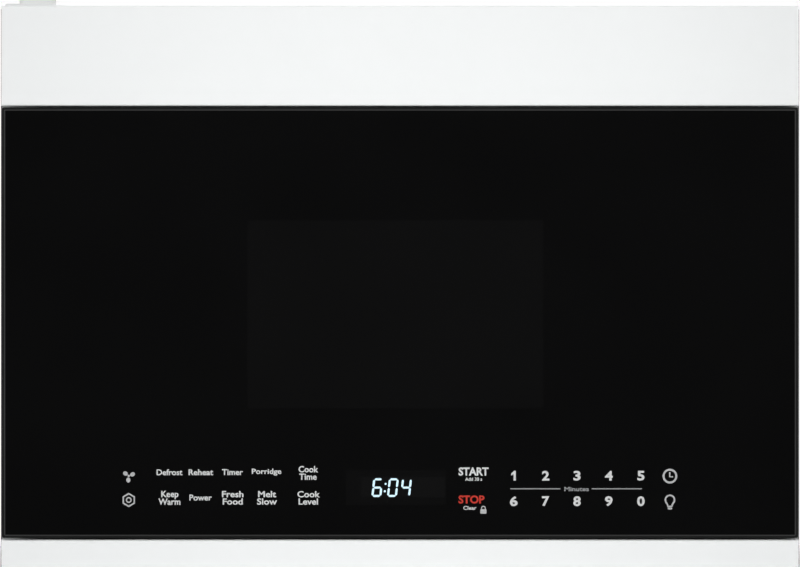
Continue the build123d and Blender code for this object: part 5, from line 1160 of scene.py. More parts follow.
def placed_fastener_tree() -> RepeatTree:
    """Tree that sets one fastener on every point, along the point's facing.

    Returns:
        The tree, with inputs Fastener, Turn Seed and Finish.
    """
    write = RepeatTree("placed_fasteners")
    fastener, seed = write.size("Fastener", "Object"), write.size("Turn Seed", "Int")
    finish = write.size("Finish", "Material")
    facing = write.add(
        "GeometryNodeInputNamedAttribute", {"Name": "facing"}, data_type="FLOAT_VECTOR"
    )
    turn = write.add(
        "FunctionNodeAlignEulerToVector", {"Vector": facing.outputs[0]}, axis="Z"
    )
    laid = write.add(
        "GeometryNodeInstanceOnPoints",
        {
            "Points": write.entry.outputs[0],
            "Instance": object_geometry(write, fastener),
            "Rotation": turn,
        },
    )
    spin = write.add("FunctionNodeRandomValue", {"Seed": seed}, data_type="FLOAT")
    write.fill(spin.inputs[3], 2 * math.pi)
    turned = write.add(
        "GeometryNodeRotateInstances",
        {
            "Instances": laid,
            "Rotation": write.add("ShaderNodeCombineXYZ", {2: spin.outputs[1]}),
        },
    )
    write.close(turned, finish)
    return write


def object_geometry(write: RepeatTree, thing: Any) -> bpy.types.NodeSocket:
    """Geometry of an object that is an input of the tree."""
    info = write.add("GeometryNodeObjectInfo", {"Object": thing})
    return info.outputs["Geometry"]


class Patterns(Enum):
    """The repeats that the scene uses."""

    SHEET = "sheet"
    FASTENERS = "fasteners"


class Repeats:
    """Holds the two trees, made once."""

    def __init__(self) -> None:
        """Makes the trees."""
        self.trees = {
            Patterns.SHEET: staggered_sheet_tree(),
            Patterns.FASTENERS: placed_fastener_tree(),
        }

    def sheet(
        self,
        cell: Workpiece,
        counts: tuple[int, int],
        pitch: Point2,
        thickness: float,
        finish: Finish,
    ) -> bpy.types.Mesh:
        """A pierced sheet in the XY plane, its upper face at 0.

        Args:
            cell: One flat cell about the origin.
            counts: Columns and rows.
            pitch: Step across and up.
            thickness: Thickness of the sheet.
            finish: Its finish.

        Returns:
            The closed sheet.
        """
        holder = bpy.data.objects.new("cell", cell.plain())
        flat = self.trees[Patterns.SHEET].run(
            bpy.data.meshes.new("points"),
            {
                "Columns": counts[0],
                "Rows": counts[1],
                "Across": pitch[0],
                "Up": pitch[1],
                "Cell": holder,
                "Finish": finish.material(),
            },
        )
        bpy.data.batch_remove([holder, holder.data])
        return thicken(flat, thickness)

    def fasteners(
        self, name: str, spots: Sequence[tuple[Vector, Vector]], head: ScrewHead
    ) -> bpy.types.Mesh:
        """Screws on their spots.

        Args:
            name: Name of the group.
            spots: Place of each head's underside and the way that it faces.
            head: The screw's head.

        Returns:
            One mesh of all of them.
        """
        points = bpy.data.meshes.new(name)
        points.from_pydata([tuple(place) for place, _ in spots], [], [])
        facing = points.attributes.new("facing", "FLOAT_VECTOR", "POINT")
        for item, (_, way) in zip(facing.data, spots):
            item.vector = way
        holder = bpy.data.objects.new("fastener", head.mesh())
        made = self.trees[Patterns.FASTENERS].run(
            points,
            {"Fastener": holder, "Turn Seed": 7, "Finish": head.finish.material()},
        )
        bpy.data.batch_remove([holder, holder.data])
        return made


def thicken(flat: bpy.types.Mesh, thickness: float) -> bpy.types.Mesh:
    """Gives a flat mesh its thickness, below its faces.

    Args:
        flat: The flat mesh; it is used up.
        thickness: The thickness.

    Returns:
        The closed mesh.
    """
    holder = stand("flat", flat)
    wall = holder.modifiers.new("wall", "SOLIDIFY")
    wall.thickness, wall.offset = thickness, -1.0
    return evaluated(holder)


FILL_MERGE = 1e-5  # corners of the outlines nearer than this become one, in letter sizes


def windings(place: Point2, lines: Sequence[Line]) -> int:
    """How often closed outlines wind around a place.

    Args:
        place: The place.
        lines: The outlines' lines, each from its start to its end.

    Returns:
        The number of turns, with its sign.
    """
    turns = 0
    for (ax, ay), (bx, by) in lines:
        if (ay <= place[1]) != (by <= place[1]):
            side = (bx - ax) * (place[1] - ay) - (place[0] - ax) * (by - ay)
            if by > ay and side > 0:
                turns += 1
            elif by < ay and side < 0:
                turns -= 1
    return turns


def filled(lines: Sequence[Line]) -> bpy.types.Mesh:
    """Fills what closed outlines wind around, also where one crosses itself.

    Args:
        lines: The outlines' lines, each from its start to its end.

    Returns:
        A flat mesh that faces +Z.
    """
    points = [Vector(end) for line in lines for end in line]
    edges = [(index, index + 1) for index in range(0, len(points), 2)]
    spots, _, faces, *_ = delaunay_2d_cdt(points, edges, [], 0, FILL_MERGE)
    work = Workpiece("flat")
    verts = [work.mesh.verts.new((*spot, 0.0)) for spot in spots]
    for face in faces:
        middle = sum((spots[index] for index in face), Vector((0.0, 0.0))) / len(face)
        if windings(tuple(middle), lines):
            work.mesh.faces.new([verts[index] for index in face])
    loose = [vert for vert in verts if not vert.link_faces]
    bmesh.ops.delete(work.mesh, geom=loose, context="VERTS")
    return work.plain()


@dataclass
class ScrewHead:
    """Pan head with a cross recess, standing on the XY plane.

    Attributes:
        radius: Radius of the head.
        height: Height of its dome.
        arm: Half the width of the recess.
        tip: Place of an arm's outer corners, as a share of its reach.
        dome: Radius and height of the dome's rings, as shares of the head's.
        recess: Reach and height of the recess's levels, as shares of the head's.
        finish: Its finish.
    """

    radius: float = 3.4 * MM
    height: float = 1.5 * MM
    arm: float = 0.4 * MM
    tip: float = 0.97
    dome: tuple[Point2, ...] = ((1.0, 0.0), (1.0, 0.35), (0.86, 0.78), (0.66, 0.98))
    recess: tuple[Point2, ...] = ((0.56, 1.0), (0.34, 0.25))
    finish: Finish = ZINC_STEEL

    def cross(self, reach: float, height: float) -> list[Place]:
        """One level of the recess.

        Args:
            reach: How far its arms reach.
            height: Height of the level.

        Returns:
            Sixteen points, counter-clockwise.
        """
        quarter = [
            (reach, 0.0), (reach * self.tip, self.arm), (self.arm, self.arm),
            (self.arm, reach * self.tip),
        ]
        points = []
        for turn in range(4):
            spin = Matrix.Rotation(turn * math.pi / 2, 2)
            points += [(*(spin @ Vector(point)), height) for point in quarter]
        return points

    def mesh(self) -> bpy.types.Mesh:
        """Builds the head.

        Returns:
            Its closed mesh.
        """
        work = Workpiece("screw_head")
        mouths = [
            self.cross(self.radius * share, self.height * rise)
            for share, rise in self.recess
        ]
        rings = [
            [
                (x, y, rise * self.height)
                for x, y in ring((0, 0), share * self.radius, len(mouths[0]))
            ]
            for share, rise in self.dome
        ]
        work.loft(rings + mouths, (self.finish,))
        bmesh.ops.recalc_face_normals(work.mesh, faces=work.mesh.faces)
        return work.plain()


# ---- Lettering ------------------------------------------------------------------------
LINE_SPACE = 0.86  # from line to line of a legend, as a share of the font's own
LETTER_STEPS = 3  # steps of a curve of a letter's outline


class Weight(Enum):
    """Boldness of the lettering, as an offset of the outline."""

    HEAVY = 0.024
    BOLD = 0.034


@dataclass(frozen=True)
class Legend:
    """Words fitted to a box of the glass.

    Attributes:
        words: The words, with a line break between two lines.
        centre: Middle of the box, across and up.
        size: Width and height of the box.
        weight: Boldness.
    """

    words: str
    centre: Point2
    size: Point2
    weight: Weight = Weight.HEAVY

    def flat(self) -> bpy.types.Mesh:
        """The words as a mesh in the XY plane.

        Only the walls come from the lettering. Its own caps fold where a bold outline
        crosses itself, so the outline is filled anew.

        Returns:
            A closed mesh of unit letter size, as thick as a letter is high.
        """
        curve = bpy.data.curves.new("words", "FONT")
        curve.body = self.words
        curve.align_x = "CENTER"
        curve.offset = self.weight.value
        curve.space_line = LINE_SPACE
        curve.extrude = 0.5
        curve.resolution_u = LETTER_STEPS
        curve.fill_mode = "NONE"
        walls = evaluated(stand("words", curve))
        places = [tuple(vert.co) for vert in walls.vertices]
        lines = []
        for wall in walls.polygons:
            corners = list(wall.vertices)
            lines += [
                (places[a][:2], places[b][:2])
                for a, b in zip(corners, corners[1:] + corners[:1])
                if places[a][2] > 0 and places[b][2] > 0
            ]
        bpy.data.meshes.remove(walls)
        return thicken(filled(lines), 1.0)

    def print_on(self, work: Workpiece, depths: Point2, finish: Finish) -> None:
        """Adds the words to a piece, facing -Y.

        Args:
            work: The piece.
            depths: Rear and front of the ink, along Y.
            finish: The ink.
        """
        mesh = self.flat()
        low = [min(vert.co[axis] for vert in mesh.vertices) for axis in range(3)]
        high = [max(vert.co[axis] for vert in mesh.vertices) for axis in range(3)]
        rear, front = depths
        scale = [
            self.size[0] * MM / (high[0] - low[0]),
            self.size[1] * MM / (high[1] - low[1]),
            (rear - front) / (high[2] - low[2]),
        ]
        middle = Vector([(a + b) / 2 for a, b in zip(low, high)])
        place = Vector(
            (self.centre[0] * MM, (rear + front) / 2, self.centre[1] * MM)
        )
        work.take(
            mesh,
            Matrix.Translation(place)
            @ UPRIGHT
            @ Matrix.Diagonal((*scale, 1.0))
            @ Matrix.Translation(-middle),
            finish,
        )


@dataclass
class Segments:
    """Slanted seven-segment digits.

    Attributes:
        size: Width and height of one digit.
        bar: Thickness of a segment.
        gap: Gap between two segments.
        slant: Lean, across for each unit up.
        LIT: Names of the segments that each digit lights.
    """

    size: Point2 = (7.6 * MM, 14.2 * MM)
    bar: float = 1.6 * MM
    gap: float = 0.18 * MM
    slant: float = 0.11
    LIT: ClassVar[dict[str, str]] = {
        "0": "abcdef", "1": "bc", "2": "abged", "3": "abgcd", "4": "fgbc",
        "5": "afgcd", "6": "afgedc", "7": "abc", "8": "abcdefg", "9": "abcdfg",
    }

    def bar_outline(self, start: Point2, end: Point2) -> list[Point2]:
        """One segment with pointed ends.

        Args:
            start: One end of its middle line.
            end: The other end.

        Returns:
            Its outline.
        """
        a, b = Vector(start), Vector(end)
        along = (b - a).normalized()
        off = Vector((-along.y, along.x)) * self.bar / 2
        a, b = a + along * self.gap, b - along * self.gap
        tip = along * self.bar / 2
        corners = (a, a + tip - off, b - tip - off, b, b - tip + off, a + tip + off)
        return [tuple(corner) for corner in corners]

    def outlines(self, digit: str) -> list[list[Point2]]:
        """Outlines of the lit segments of a digit about its own centre.

        Args:
            digit: The digit.

        Returns:
            One outline for each segment.
        """
        x = self.size[0] / 2 - self.bar / 2
        z = self.size[1] / 2 - self.bar / 2
        ends = {
            "a": ((-x, z), (x, z)), "b": ((x, z), (x, 0)), "c": ((x, 0), (x, -z)),
            "d": ((-x, -z), (x, -z)), "e": ((-x, -z), (-x, 0)), "f": ((-x, 0), (-x, z)),
            "g": ((-x, 0), (x, 0)),
        }
        return [self.bar_outline(*ends[name]) for name in self.LIT[digit]]

    def lean(self, points: Iterable[Point2], centre: Point2) -> list[Point2]:
        """Points about a centre, slanted."""
        return [(centre[0] + x + z * self.slant, centre[1] + z) for x, z in points]


# ---- The door -------------------------------------------------------------------------
@dataclass
class DoorGlass:
    """The bevelled sheet of black glass that covers the whole door.

    Attributes:
        corner: Radius of the sheet's corners.
        ground: Width of the ground outer chamfer.
        polished: Width of the polished facet inside it.
        face_drop: Front face behind the frontmost plane.
        facet_drop: Outer edge of the polished facet behind the front face.
        ground_drop: Outer edge of the ground chamfer behind the front face.
        rear_bevel: Width of the bevel at the rear.
        least_corner: Least radius of an inner loop's corners.
    """

    corner: float = 1.6 * MM
    ground: float = 1.7 * MM
    polished: float = 0.7 * MM
    face_drop: float = 0.1 * MM
    facet_drop: float = 0.36 * MM
    ground_drop: float = 0.9 * MM
    rear_bevel: float = 0.4 * MM
    least_corner: float = 0.3 * MM

    def build(self) -> None:
        """Builds the sheet in the place of its node."""
        low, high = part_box("door_glass")
        centre = ((low.x + high.x) / 2, (low.z + high.z) / 2)
        size = (high.x - low.x, high.z - low.z)
        front = low.y + self.face_drop

        def level(inset: float, depth: float) -> list[Place]:
            """One loop of the sheet's edge."""
            outline = rounded_rectangle(
                centre,
                (size[0] - 2 * inset, size[1] - 2 * inset),
                max(self.least_corner, self.corner - inset / 2),
            )
            return [(x, depth, z) for x, z in outline]

        inner = self.ground + self.polished
        work = Workpiece("glass_sheet")
        work.loft(
            [
                level(self.rear_bevel, high.y),
                level(0.0, high.y - self.rear_bevel),
                level(0.0, front + self.ground_drop),
                level(self.ground, front + self.facet_drop),
                level(inner, front),
            ],
            (BLACK_GLASS, GROUND_EDGE, GROUND_EDGE, POLISHED_EDGE, BLACK_GLASS),
        )
        work.done("door", ("door_glass",), crease=8.0)


@dataclass
class KeyLegends:
    """Printing of the touch keys, as thin ink on the glass; sizes in millimetres.

    Attributes:
        programmes: Words of the programme keys.
        start: Words of the start key.
        stop: Word of the stop key.
        clear: Word under it.
        digit_columns: Middle of each column of number keys, across.
        digit_widths: Width of each digit, row by row.
        digit_rows: Digits of each row, the place of their middle, up, and their height.
        rule_height: Height of the line between the two rows.
        rule_width: Width of that line.
        rules: Middle and length of its two halves.
        rule_words: Word between them.
    """

    programmes: tuple[Legend, ...] = (
        Legend("Defrost", (-174.7, 76.3), (19.7, 4.6)),
        Legend("Reheat", (-150.9, 76.3), (18.7, 4.6)),
        Legend("Timer", (-127.0, 76.4), (15.9, 4.6)),
        Legend("Porridge", (-101.1, 76.4), (22.4, 5.3)),
        Legend("Cook\nTime", (-69.4, 75.8), (15.0, 10.6)),
        Legend("Keep\nWarm", (-174.8, 56.9), (16.7, 10.8)),
        Legend("Power", (-151.1, 57.1), (17.2, 4.6)),
        Legend("Fresh\nFood", (-126.8, 56.9), (16.3, 10.4)),
        Legend("Melt\nSlow", (-100.8, 56.9), (15.2, 10.4)),
        Legend("Cook\nLevel", (-69.2, 56.9), (17.2, 10.4)),
    )
    start: tuple[Legend, ...] = (
        Legend("START", (55.8, 76.9), (22.8, 6.4), Weight.BOLD),
        Legend("Add 30 s", (55.8, 71.1), (12.9, 2.7)),
    )
    stop: Legend = Legend("STOP", (54.2, 55.7), (19.7, 6.3), Weight.BOLD)
    clear: Legend = Legend("Clear", (53.0, 49.3), (10.0, 2.9))
    digit_columns: tuple[float, ...] = (86.2, 110.4, 134.2, 158.3, 182.6)
    digit_widths: tuple[tuple[float, ...], ...] = (
        (3.9, 5.6, 5.4, 6.0, 5.5),
        (5.9, 5.6, 5.7, 5.8, 5.8),
    )
    digit_rows: tuple[tuple[str, float, float], ...] = (
        ("12345", 73.7, 7.4),
        ("67890", 54.4, 7.6),
    )
    rule_height: float = 63.8
    rule_width: float = 0.85
    rules: tuple[Point2, ...] = ((102.6, 38.2), (164.4, 38.4))
    rule_words: Legend = Legend("Minutes", (133.9, 63.6), (18.6, 3.3))

    def build(self) -> None:
        """Prints every group."""
        self.words("programme_legends", self.programmes, LEGEND_INK)
        self.words("start_legend", self.start, LEGEND_INK)
        self.words("stop_legend", (self.stop,), STOP_INK)
        self.words("clear_legend", (self.clear,), LEGEND_INK)
        self.digits()
        self.rule()

    def words(self, name: str, legends: Sequence[Legend], ink: Finish) -> None:
        """Prints one group of words.

        Args:
            name: Name of the piece.
            legends: The words.
            ink: Their ink.
        """
        work = Workpiece(name)
        for legend in legends:
            legend.print_on(work, INK_DEPTHS, ink)
        work.done("door", crease=INK_CREASE)

    def digits(self) -> None:
        """Prints the number keys."""
        work = Workpiece("number_legends")
        for (digits, height, tall), widths in zip(self.digit_rows, self.digit_widths):
            for digit, column, wide in zip(digits, self.digit_columns, widths):
                if digit == "1":
                    self.one(work, (column, height), (wide, tall))
                    continue
                Legend(digit, (column, height), (wide, tall), Weight.BOLD).print_on(
                    work, INK_DEPTHS, LEGEND_INK
                )
        work.done("door", crease=INK_CREASE)

    def one(self, work: Workpiece, centre: Point2, size: Point2) -> None:
        """Draws a 1 with its flag, which the font lacks.

        Args:
            work: The piece.
            centre: Middle of the digit.
            size: Its width and height.
        """
        shape = [
            (0.46, 0.0), (0.9, 0.0), (0.9, 1.0), (0.56, 1.0), (0.02, 0.74), (0.02, 0.5),
            (0.46, 0.7),
        ]
        outline = [
            ((centre[0] + (x - 0.5) * size[0]) * MM, (centre[1] + (z - 0.5) * size[1]) * MM)
            for x, z in shape
        ]
        work.plate(outline, INK_DEPTHS, LEGEND_INK)

    def rule(self) -> None:
        """Prints the line between the number keys and its words."""
        work = Workpiece("number_rule")
        for middle, length in self.rules:
            outline = rounded_rectangle(
                (middle * MM, self.rule_height * MM),
                (length * MM, self.rule_width * MM),
                0.4 * MM,
                2,
            )
            work.plate(outline, INK_DEPTHS, LINE_INK)
        self.rule_words.print_on(work, INK_DEPTHS, LINE_INK)
        work.done("door", crease=INK_CREASE)


@dataclass
class KeyIcons:
    """Pictures on the touch keys, in millimetres.

    Attributes:
        clock_middle: Middle of the clock, across and up.
        bulb_middle: Middle of the bulb's glass.
        fan_middle: Middle of the fan's hub.
        nut_middle: Middle of the hexagon.
        padlock_middle: Middle of the padlock's body.
        bulb_radius: Radius of the bulb's glass.
        bulb_line: Width of the bulb's line.
        fan_turns: Where the fan's blades stand, in degrees.
        blade_steps: Points round a blade.
    """

    clock_middle: Point2 = (204.6, 73.4)
    bulb_middle: Point2 = (204.6, 55.4)
    fan_middle: Point2 = (-205.6, 73.5)
    nut_middle: Point2 = (-205.6, 55.3)
    padlock_middle: Point2 = (63.2, 46.6)
    bulb_radius: float = 3.45
    bulb_line: float = 1.25
    fan_turns: tuple[int, ...] = (60, 180, 300)
    blade_steps: int = 14

    def build(self) -> None:
        """Prints the icons as one piece each."""
        for name, draw in (
            ("clock_icon", self.clock), ("bulb_icon", self.bulb), ("fan_icon", self.fan),
            ("nut_icon", self.nut), ("padlock_icon", self.padlock),
        ):
            work = Workpiece(name)
            draw(work)
            work.done("door", crease=INK_CREASE)

    def fill(self, work: Workpiece, outline: Iterable[Point2]) -> None:
        """Prints a filled shape.

        Args:
            work: The piece.
            outline: Its outline, in millimetres.
        """
        work.plate([(x * MM, z * MM) for x, z in outline], INK_DEPTHS, ICON_INK)

    def trace(
        self, work: Workpiece, path: Sequence[Point2], width: float, closed: bool = False
    ) -> None:
        """Prints a line of one width.

        Args:
            work: The piece.
            path: Middle of the line, in millimetres.
            width: Its width.
            closed: Whether it closes.
        """
        left, right = stroke(path, width, closed)
        if not closed:
            self.fill(work, [*right, *reversed(left)])
            return
        outer, inner = ([(x * MM, z * MM) for x, z in side] for side in (right, left))
        work.plate(outer, INK_DEPTHS, ICON_INK, inner)

    def arc(self, centre: Point2, radii: Point2, angles: Iterable[int]) -> list[Point2]:
        """Points of an ellipse.

        Args:
            centre: Its middle.
            radii: Its radii, across and up.
            angles: Angle of each point, in degrees.

        Returns:
            The points.
        """
        turns = [math.radians(angle) for angle in angles]
        return [
            (centre[0] + radii[0] * math.cos(turn), centre[1] + radii[1] * math.sin(turn))
            for turn in turns
        ]

    def clock(self, work: Workpiece) -> None:
        """A ring with two hands.

        Args:
            work: The piece.
        """
        x, z = self.clock_middle
        self.trace(work, ring((x, z), 4.85, 40), 1.5, closed=True)
        self.trace(work, [(x - 0.1, z + 3.0), (x - 0.1, z - 0.5), (x + 2.4, z - 0.5)], 1.15)

    def bulb(self, work: Workpiece) -> None:
        """Outline of a lamp with its cap.

        Args:
            work: The piece.
        """
        x, z = self.bulb_middle
        glass = self.arc((x, z), (self.bulb_radius, self.bulb_radius), range(-42, 223, 12))
        right = [(x + 1.55, z - 5.0), (x + 1.75, z - 3.7)]
        left = [(x - 1.75, z - 3.7), (x - 1.55, z - 5.0)]
        self.trace(work, [*right, *glass, *left], self.bulb_line, closed=True)
        self.fill(work, rounded_rectangle((x, z - 6.55), (3.6, 1.5), 0.7, 2))

    def fan(self, work: Workpiece) -> None:
        """Three blades round a hub.

        Args:
            work: The piece.
        """
        x, z = self.fan_middle
        angles = [2 * math.pi * step / self.blade_steps for step in range(self.blade_steps)]
        blade = [
            Vector((1.62 * math.sin(angle) + 0.35, 3.1 + 1.95 * math.cos(angle)))
            for angle in angles
        ]
        for turn in self.fan_turns:
            spin = Matrix.Rotation(math.radians(-turn), 2)
            turned = [spin @ point for point in blade]
            self.fill(work, [(x + point.x, z + point.y) for point in turned])
        self.fill(work, ring((x, z), 0.95, 16))

    def nut(self, work: Workpiece) -> None:
        """A hexagon with a round hole."""
        self.trace(work, ring(self.nut_middle, 4.8, 6, math.pi / 6), 1.3, closed=True)
        self.trace(work, ring(self.nut_middle, 1.75, 24), 1.0, closed=True)

    def padlock(self, work: Workpiece) -> None:
        """A padlock beside the stop key.

        Args:
            work: The piece.
        """
        x, z = self.padlock_middle
        self.fill(work, rounded_rectangle((x, z), (4.7, 3.5), 0.5, 2))
        bow = self.arc((x, z + 2.7), (1.4, 1.2), range(0, 181, 20))
        self.trace(work, [(x + 1.4, z + 1.6), *bow, (x - 1.4, z + 1.6)], 0.75)


@dataclass
class ClockDisplay:
    """Lit digits that shine through the glass, drawn on its face.

    Attributes:
        middle: Centre of the time, across and up.
        depths: Rear and front of the digits, along Y.
        digits: Digits and their centres from the middle.
        colon: Colon from the middle.
        dot_rises: Its two dots from its middle, up.
        dot_radius: Radius of a dot.
        dot_steps: Points round a dot.
    """

    middle: Point2 = (-6.3 * MM, 64.7 * MM)
    depths: Point2 = (-200.905 * MM, -200.965 * MM)
    digits: tuple[tuple[str, float], ...] = (
        ("6", -10.9 * MM), ("0", 0.9 * MM), ("4", 10.9 * MM),
    )
    colon: float = -4.9 * MM
    dot_rises: Point2 = (-2.8 * MM, 2.8 * MM)
    dot_radius: float = 0.85 * MM
    dot_steps: int = 12

    def build(self) -> None:
        """Builds the digits and the colon as one piece."""
        work = Workpiece("clock_digits")
        style = Segments()
        for digit, offset in self.digits:
            for outline in style.outlines(digit):
                points = style.lean(outline, (self.middle[0] + offset, self.middle[1]))
                work.plate(points, self.depths, LIT_SEGMENT)
        for rise in self.dot_rises:
            dot = ring((0.0, rise), self.dot_radius, self.dot_steps)
            points = style.lean(dot, (self.middle[0] + self.colon, self.middle[1]))
            work.plate(points, self.depths, LIT_SEGMENT)
        work.done("door", crease=INK_CREASE)


@dataclass
class DoorScreen:
    """Pierced steel screen behind the window.

    Attributes:
        pitch: Distance between two holes.
        web: Metal left between them.
        margin: Plain metal round the pierced field.
        lap: Plain metal over the field, its two edges together, in pitches.
        corners: Radius of the corners of the sheet and of the opening in it.
    """

    pitch: float = 3.2 * MM
    web: float = 0.75 * MM
    margin: float = 3.0 * MM
    lap: float = 2.2
    corners: Point2 = (2 * MM, 1 * MM)

    def cell(self) -> Workpiece:
        """One hexagon of sheet with a six-sided hole.

        Returns:
            The cell, flat about the origin.
        """
        work = Workpiece("screen_cell")
        outer = ring((0, 0), self.pitch / math.sqrt(3), 6, math.pi / 6)
        inner = ring((0, 0), (self.pitch - self.web) / math.sqrt(3), 6, math.pi / 6)
        loops = [[(x, y, 0.0) for x, y in points] for points in (outer, inner)]
        work.loft(loops, (BLACK_COAT,), (False, False))
        return work

    def build(self, repeats: Repeats) -> None:
        """Builds the screen in the place of its node.

        Args:
            repeats: The shared trees.
        """
        low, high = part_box("door_screen")
        size = high - low
        rise = self.pitch * math.sqrt(3) / 2
        counts = (
            int((size.x - 2 * self.margin) / self.pitch),
            int((size.z - 2 * self.margin) / rise),
        )
        sheet = repeats.sheet(self.cell(), counts, (self.pitch, rise), size.y, BLACK_COAT)
        middle = (low + high) / 2
        shift = Vector((middle.x - self.pitch / 4, low.y, middle.z))
        work = Workpiece("pierced_door_screen")
        work.take(sheet, Matrix.Translation(shift) @ UPRIGHT, BLACK_COAT)
        lap = self.lap * self.pitch
        field_size = (
            (counts[0] + 0.5) * self.pitch - lap,
            (counts[1] - 1) * rise + 2 * self.pitch / math.sqrt(3) - lap,
        )
        outer, inner = (
            rounded_rectangle((middle.x, middle.z), extent, corner, 2)
            for extent, corner in zip(((size.x, size.z), field_size), self.corners)
        )
        work.plate(outer, (high.y, low.y), BLACK_COAT, inner)
        work.done("door", ("door_screen",))


# ---- The turntable --------------------------------------------------------------------
@dataclass
class GlassTray:
    """Pressed glass tray with a rounded rim and three drive lugs.

    Attributes:
        base: Thickness of its floor.
        depth: Underside of its floor below the rim.
        wall: Width of its sloping wall.
        groove: Depth of the grooves in its floor.
        steps: Steps round the axis.
        lug: Width of a drive lug.
        lug_radius: Lugs from the axis.
        lug_corner: Radius of a lug's corners.
        lug_angles: Where the lugs stand, in degrees.
    """

    base: float = 4.5 * MM
    depth: float = 13.0 * MM
    wall: float = 14.0 * MM
    groove: float = 0.4 * MM
    steps: int = 96
    lug: float = 9.0 * MM
    lug_radius: float = 17.0 * MM
    lug_corner: float = 1.2 * MM
    lug_angles: tuple[int, ...] = (30, 150, 270)

    def build(self) -> None:
        """Builds the tray in the place of its node."""
        low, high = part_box("glass_tray")
        centre = ((low.x + high.x) / 2, (low.y + high.y) / 2)
        radius = (high.x - low.x) / 2
        floor = high.z - self.depth
        foot = radius - self.wall
        top = floor + self.base
        profile = [
            (0.0, floor), (foot - 22 * MM, floor), (foot - 2 * MM, floor),
            (foot + 1.6 * MM, floor + 0.7 * MM), (foot + 4 * MM, floor + 2.3 * MM),
            (radius - 1.4 * MM, high.z - 3.3 * MM), (radius - 0.3 * MM, high.z - 1.9 * MM),
            (radius, high.z - 1.0 * MM), (radius - 0.3 * MM, high.z - 0.3 * MM),
            (radius - 1.1 * MM, high.z), (radius - 2.4 * MM, high.z - 0.2 * MM),
            (radius - 3.6 * MM, high.z - 1.0 * MM), (foot + 2.2 * MM, floor + 6.4 * MM),
            (foot - 0.6 * MM, floor + 5.1 * MM), (foot - 3.4 * MM, top),
            (foot - 20 * MM, top), (foot - 21 * MM, top - self.groove),
            (foot - 24 * MM, top - self.groove), (foot - 25 * MM, top),
            (36 * MM, top), (35 * MM, top - self.groove),
            (32 * MM, top - self.groove), (31 * MM, top),
            (0.0, top),
        ]
        work = Workpiece("pressed_glass_tray")
        work.turned(profile, centre, self.steps, TRAY_GLASS)
        for angle in self.lug_angles:
            self.add_lug(work, centre, math.radians(angle), low.z, floor)
        work.done("tray", ("glass_tray",))

    def add_lug(
        self, work: Workpiece, centre: Point2, angle: float, foot: float, floor: float
    ) -> None:
        """Adds one drive lug, narrower at its foot.

        Args:
            work: The tray.
            centre: The tray's axis.
            angle: Where the lug stands.
            foot: Its lowest point.
            floor: Underside of the tray.
        """
        spin = Matrix.Rotation(angle, 2)
        loops = []
        taper = ((0.80, foot), (0.92, foot + 0.8 * MM), (1.0, floor - 0.02 * MM))
        for share, height in taper:
            width = self.lug * share
            outline = rounded_rectangle(
                (self.lug_radius, 0.0), (width, width), self.lug_corner, 2
            )
            points = [spin @ Vector(point) for point in outline]
            loops.append([(centre[0] + p.x, centre[1] + p.y, height) for p in points])
        work.loft(loops, (TRAY_GLASS,))


# ---- The underside --------------------------------------------------------------------
@dataclass
class FilterMesh:
    """Expanded aluminium laid in both faces of a grease filter.

    Attributes:
        diamond: Width and height of one opening, strands included.
        strand: Width of a strand.
        thickness: Thickness of a layer.
        edge: Width of the filter's channel frame.
        recess: Faces of the pack behind the frame's faces.
        bedding: How far a layer stands clear of the pack.
    """

    diamond: Point2 = (12.0 * MM, 6.0 * MM)
    strand: float = 1.5 * MM
    thickness: float = 0.7 * MM
    edge: float = 8.0 * MM
    recess: float = 3.0 * MM
    bedding: float = 0.05 * MM

    def cell(self) -> Workpiece:
        """One diamond of four strands.

        Returns:
            The cell, flat about the origin.
        """
        wide, tall = (extent / 2 for extent in self.diamond)
        outer = [(wide, 0.0), (0.0, tall), (-wide, 0.0), (0.0, -tall)]
        loops = [
            [(x * share, y * share, 0.0) for x, y in outer]
            for share in (1.0, 1.0 - self.strand / min(wide, tall) / 2)
        ]
        work = Workpiece("diamond")
        work.loft(loops, (ALUMINIUM,), (False, False))
        return work

    def build(self, side: str, repeats: Repeats) -> None:
        """Lays the mesh of one filter.

        Args:
            side: "left" or "right".
            repeats: The shared trees.
        """
        low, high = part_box(f"grease_filter_{side}")
        room = (high.x - low.x - 2 * self.edge, high.y - low.y - 2 * self.edge)
        counts = (
            int(room[0] / self.diamond[0] - 0.5), int(room[1] / (self.diamond[1] / 2)) - 1,
        )
        pitch = (self.diamond[0], self.diamond[1] / 2)
        middle = (low + high) / 2
        work = Workpiece(f"filter_mesh_{side}")
        for height in (
            low.z + self.recess - self.bedding,
            high.z - self.recess + self.thickness + self.bedding,
        ):
            sheet = repeats.sheet(self.cell(), counts, pitch, self.thickness, ALUMINIUM)
            shift = Vector((middle.x - self.diamond[0] / 4, middle.y, height))
            work.take(sheet, Matrix.Translation(shift), ALUMINIUM)
        work.done(f"filter_{side}")


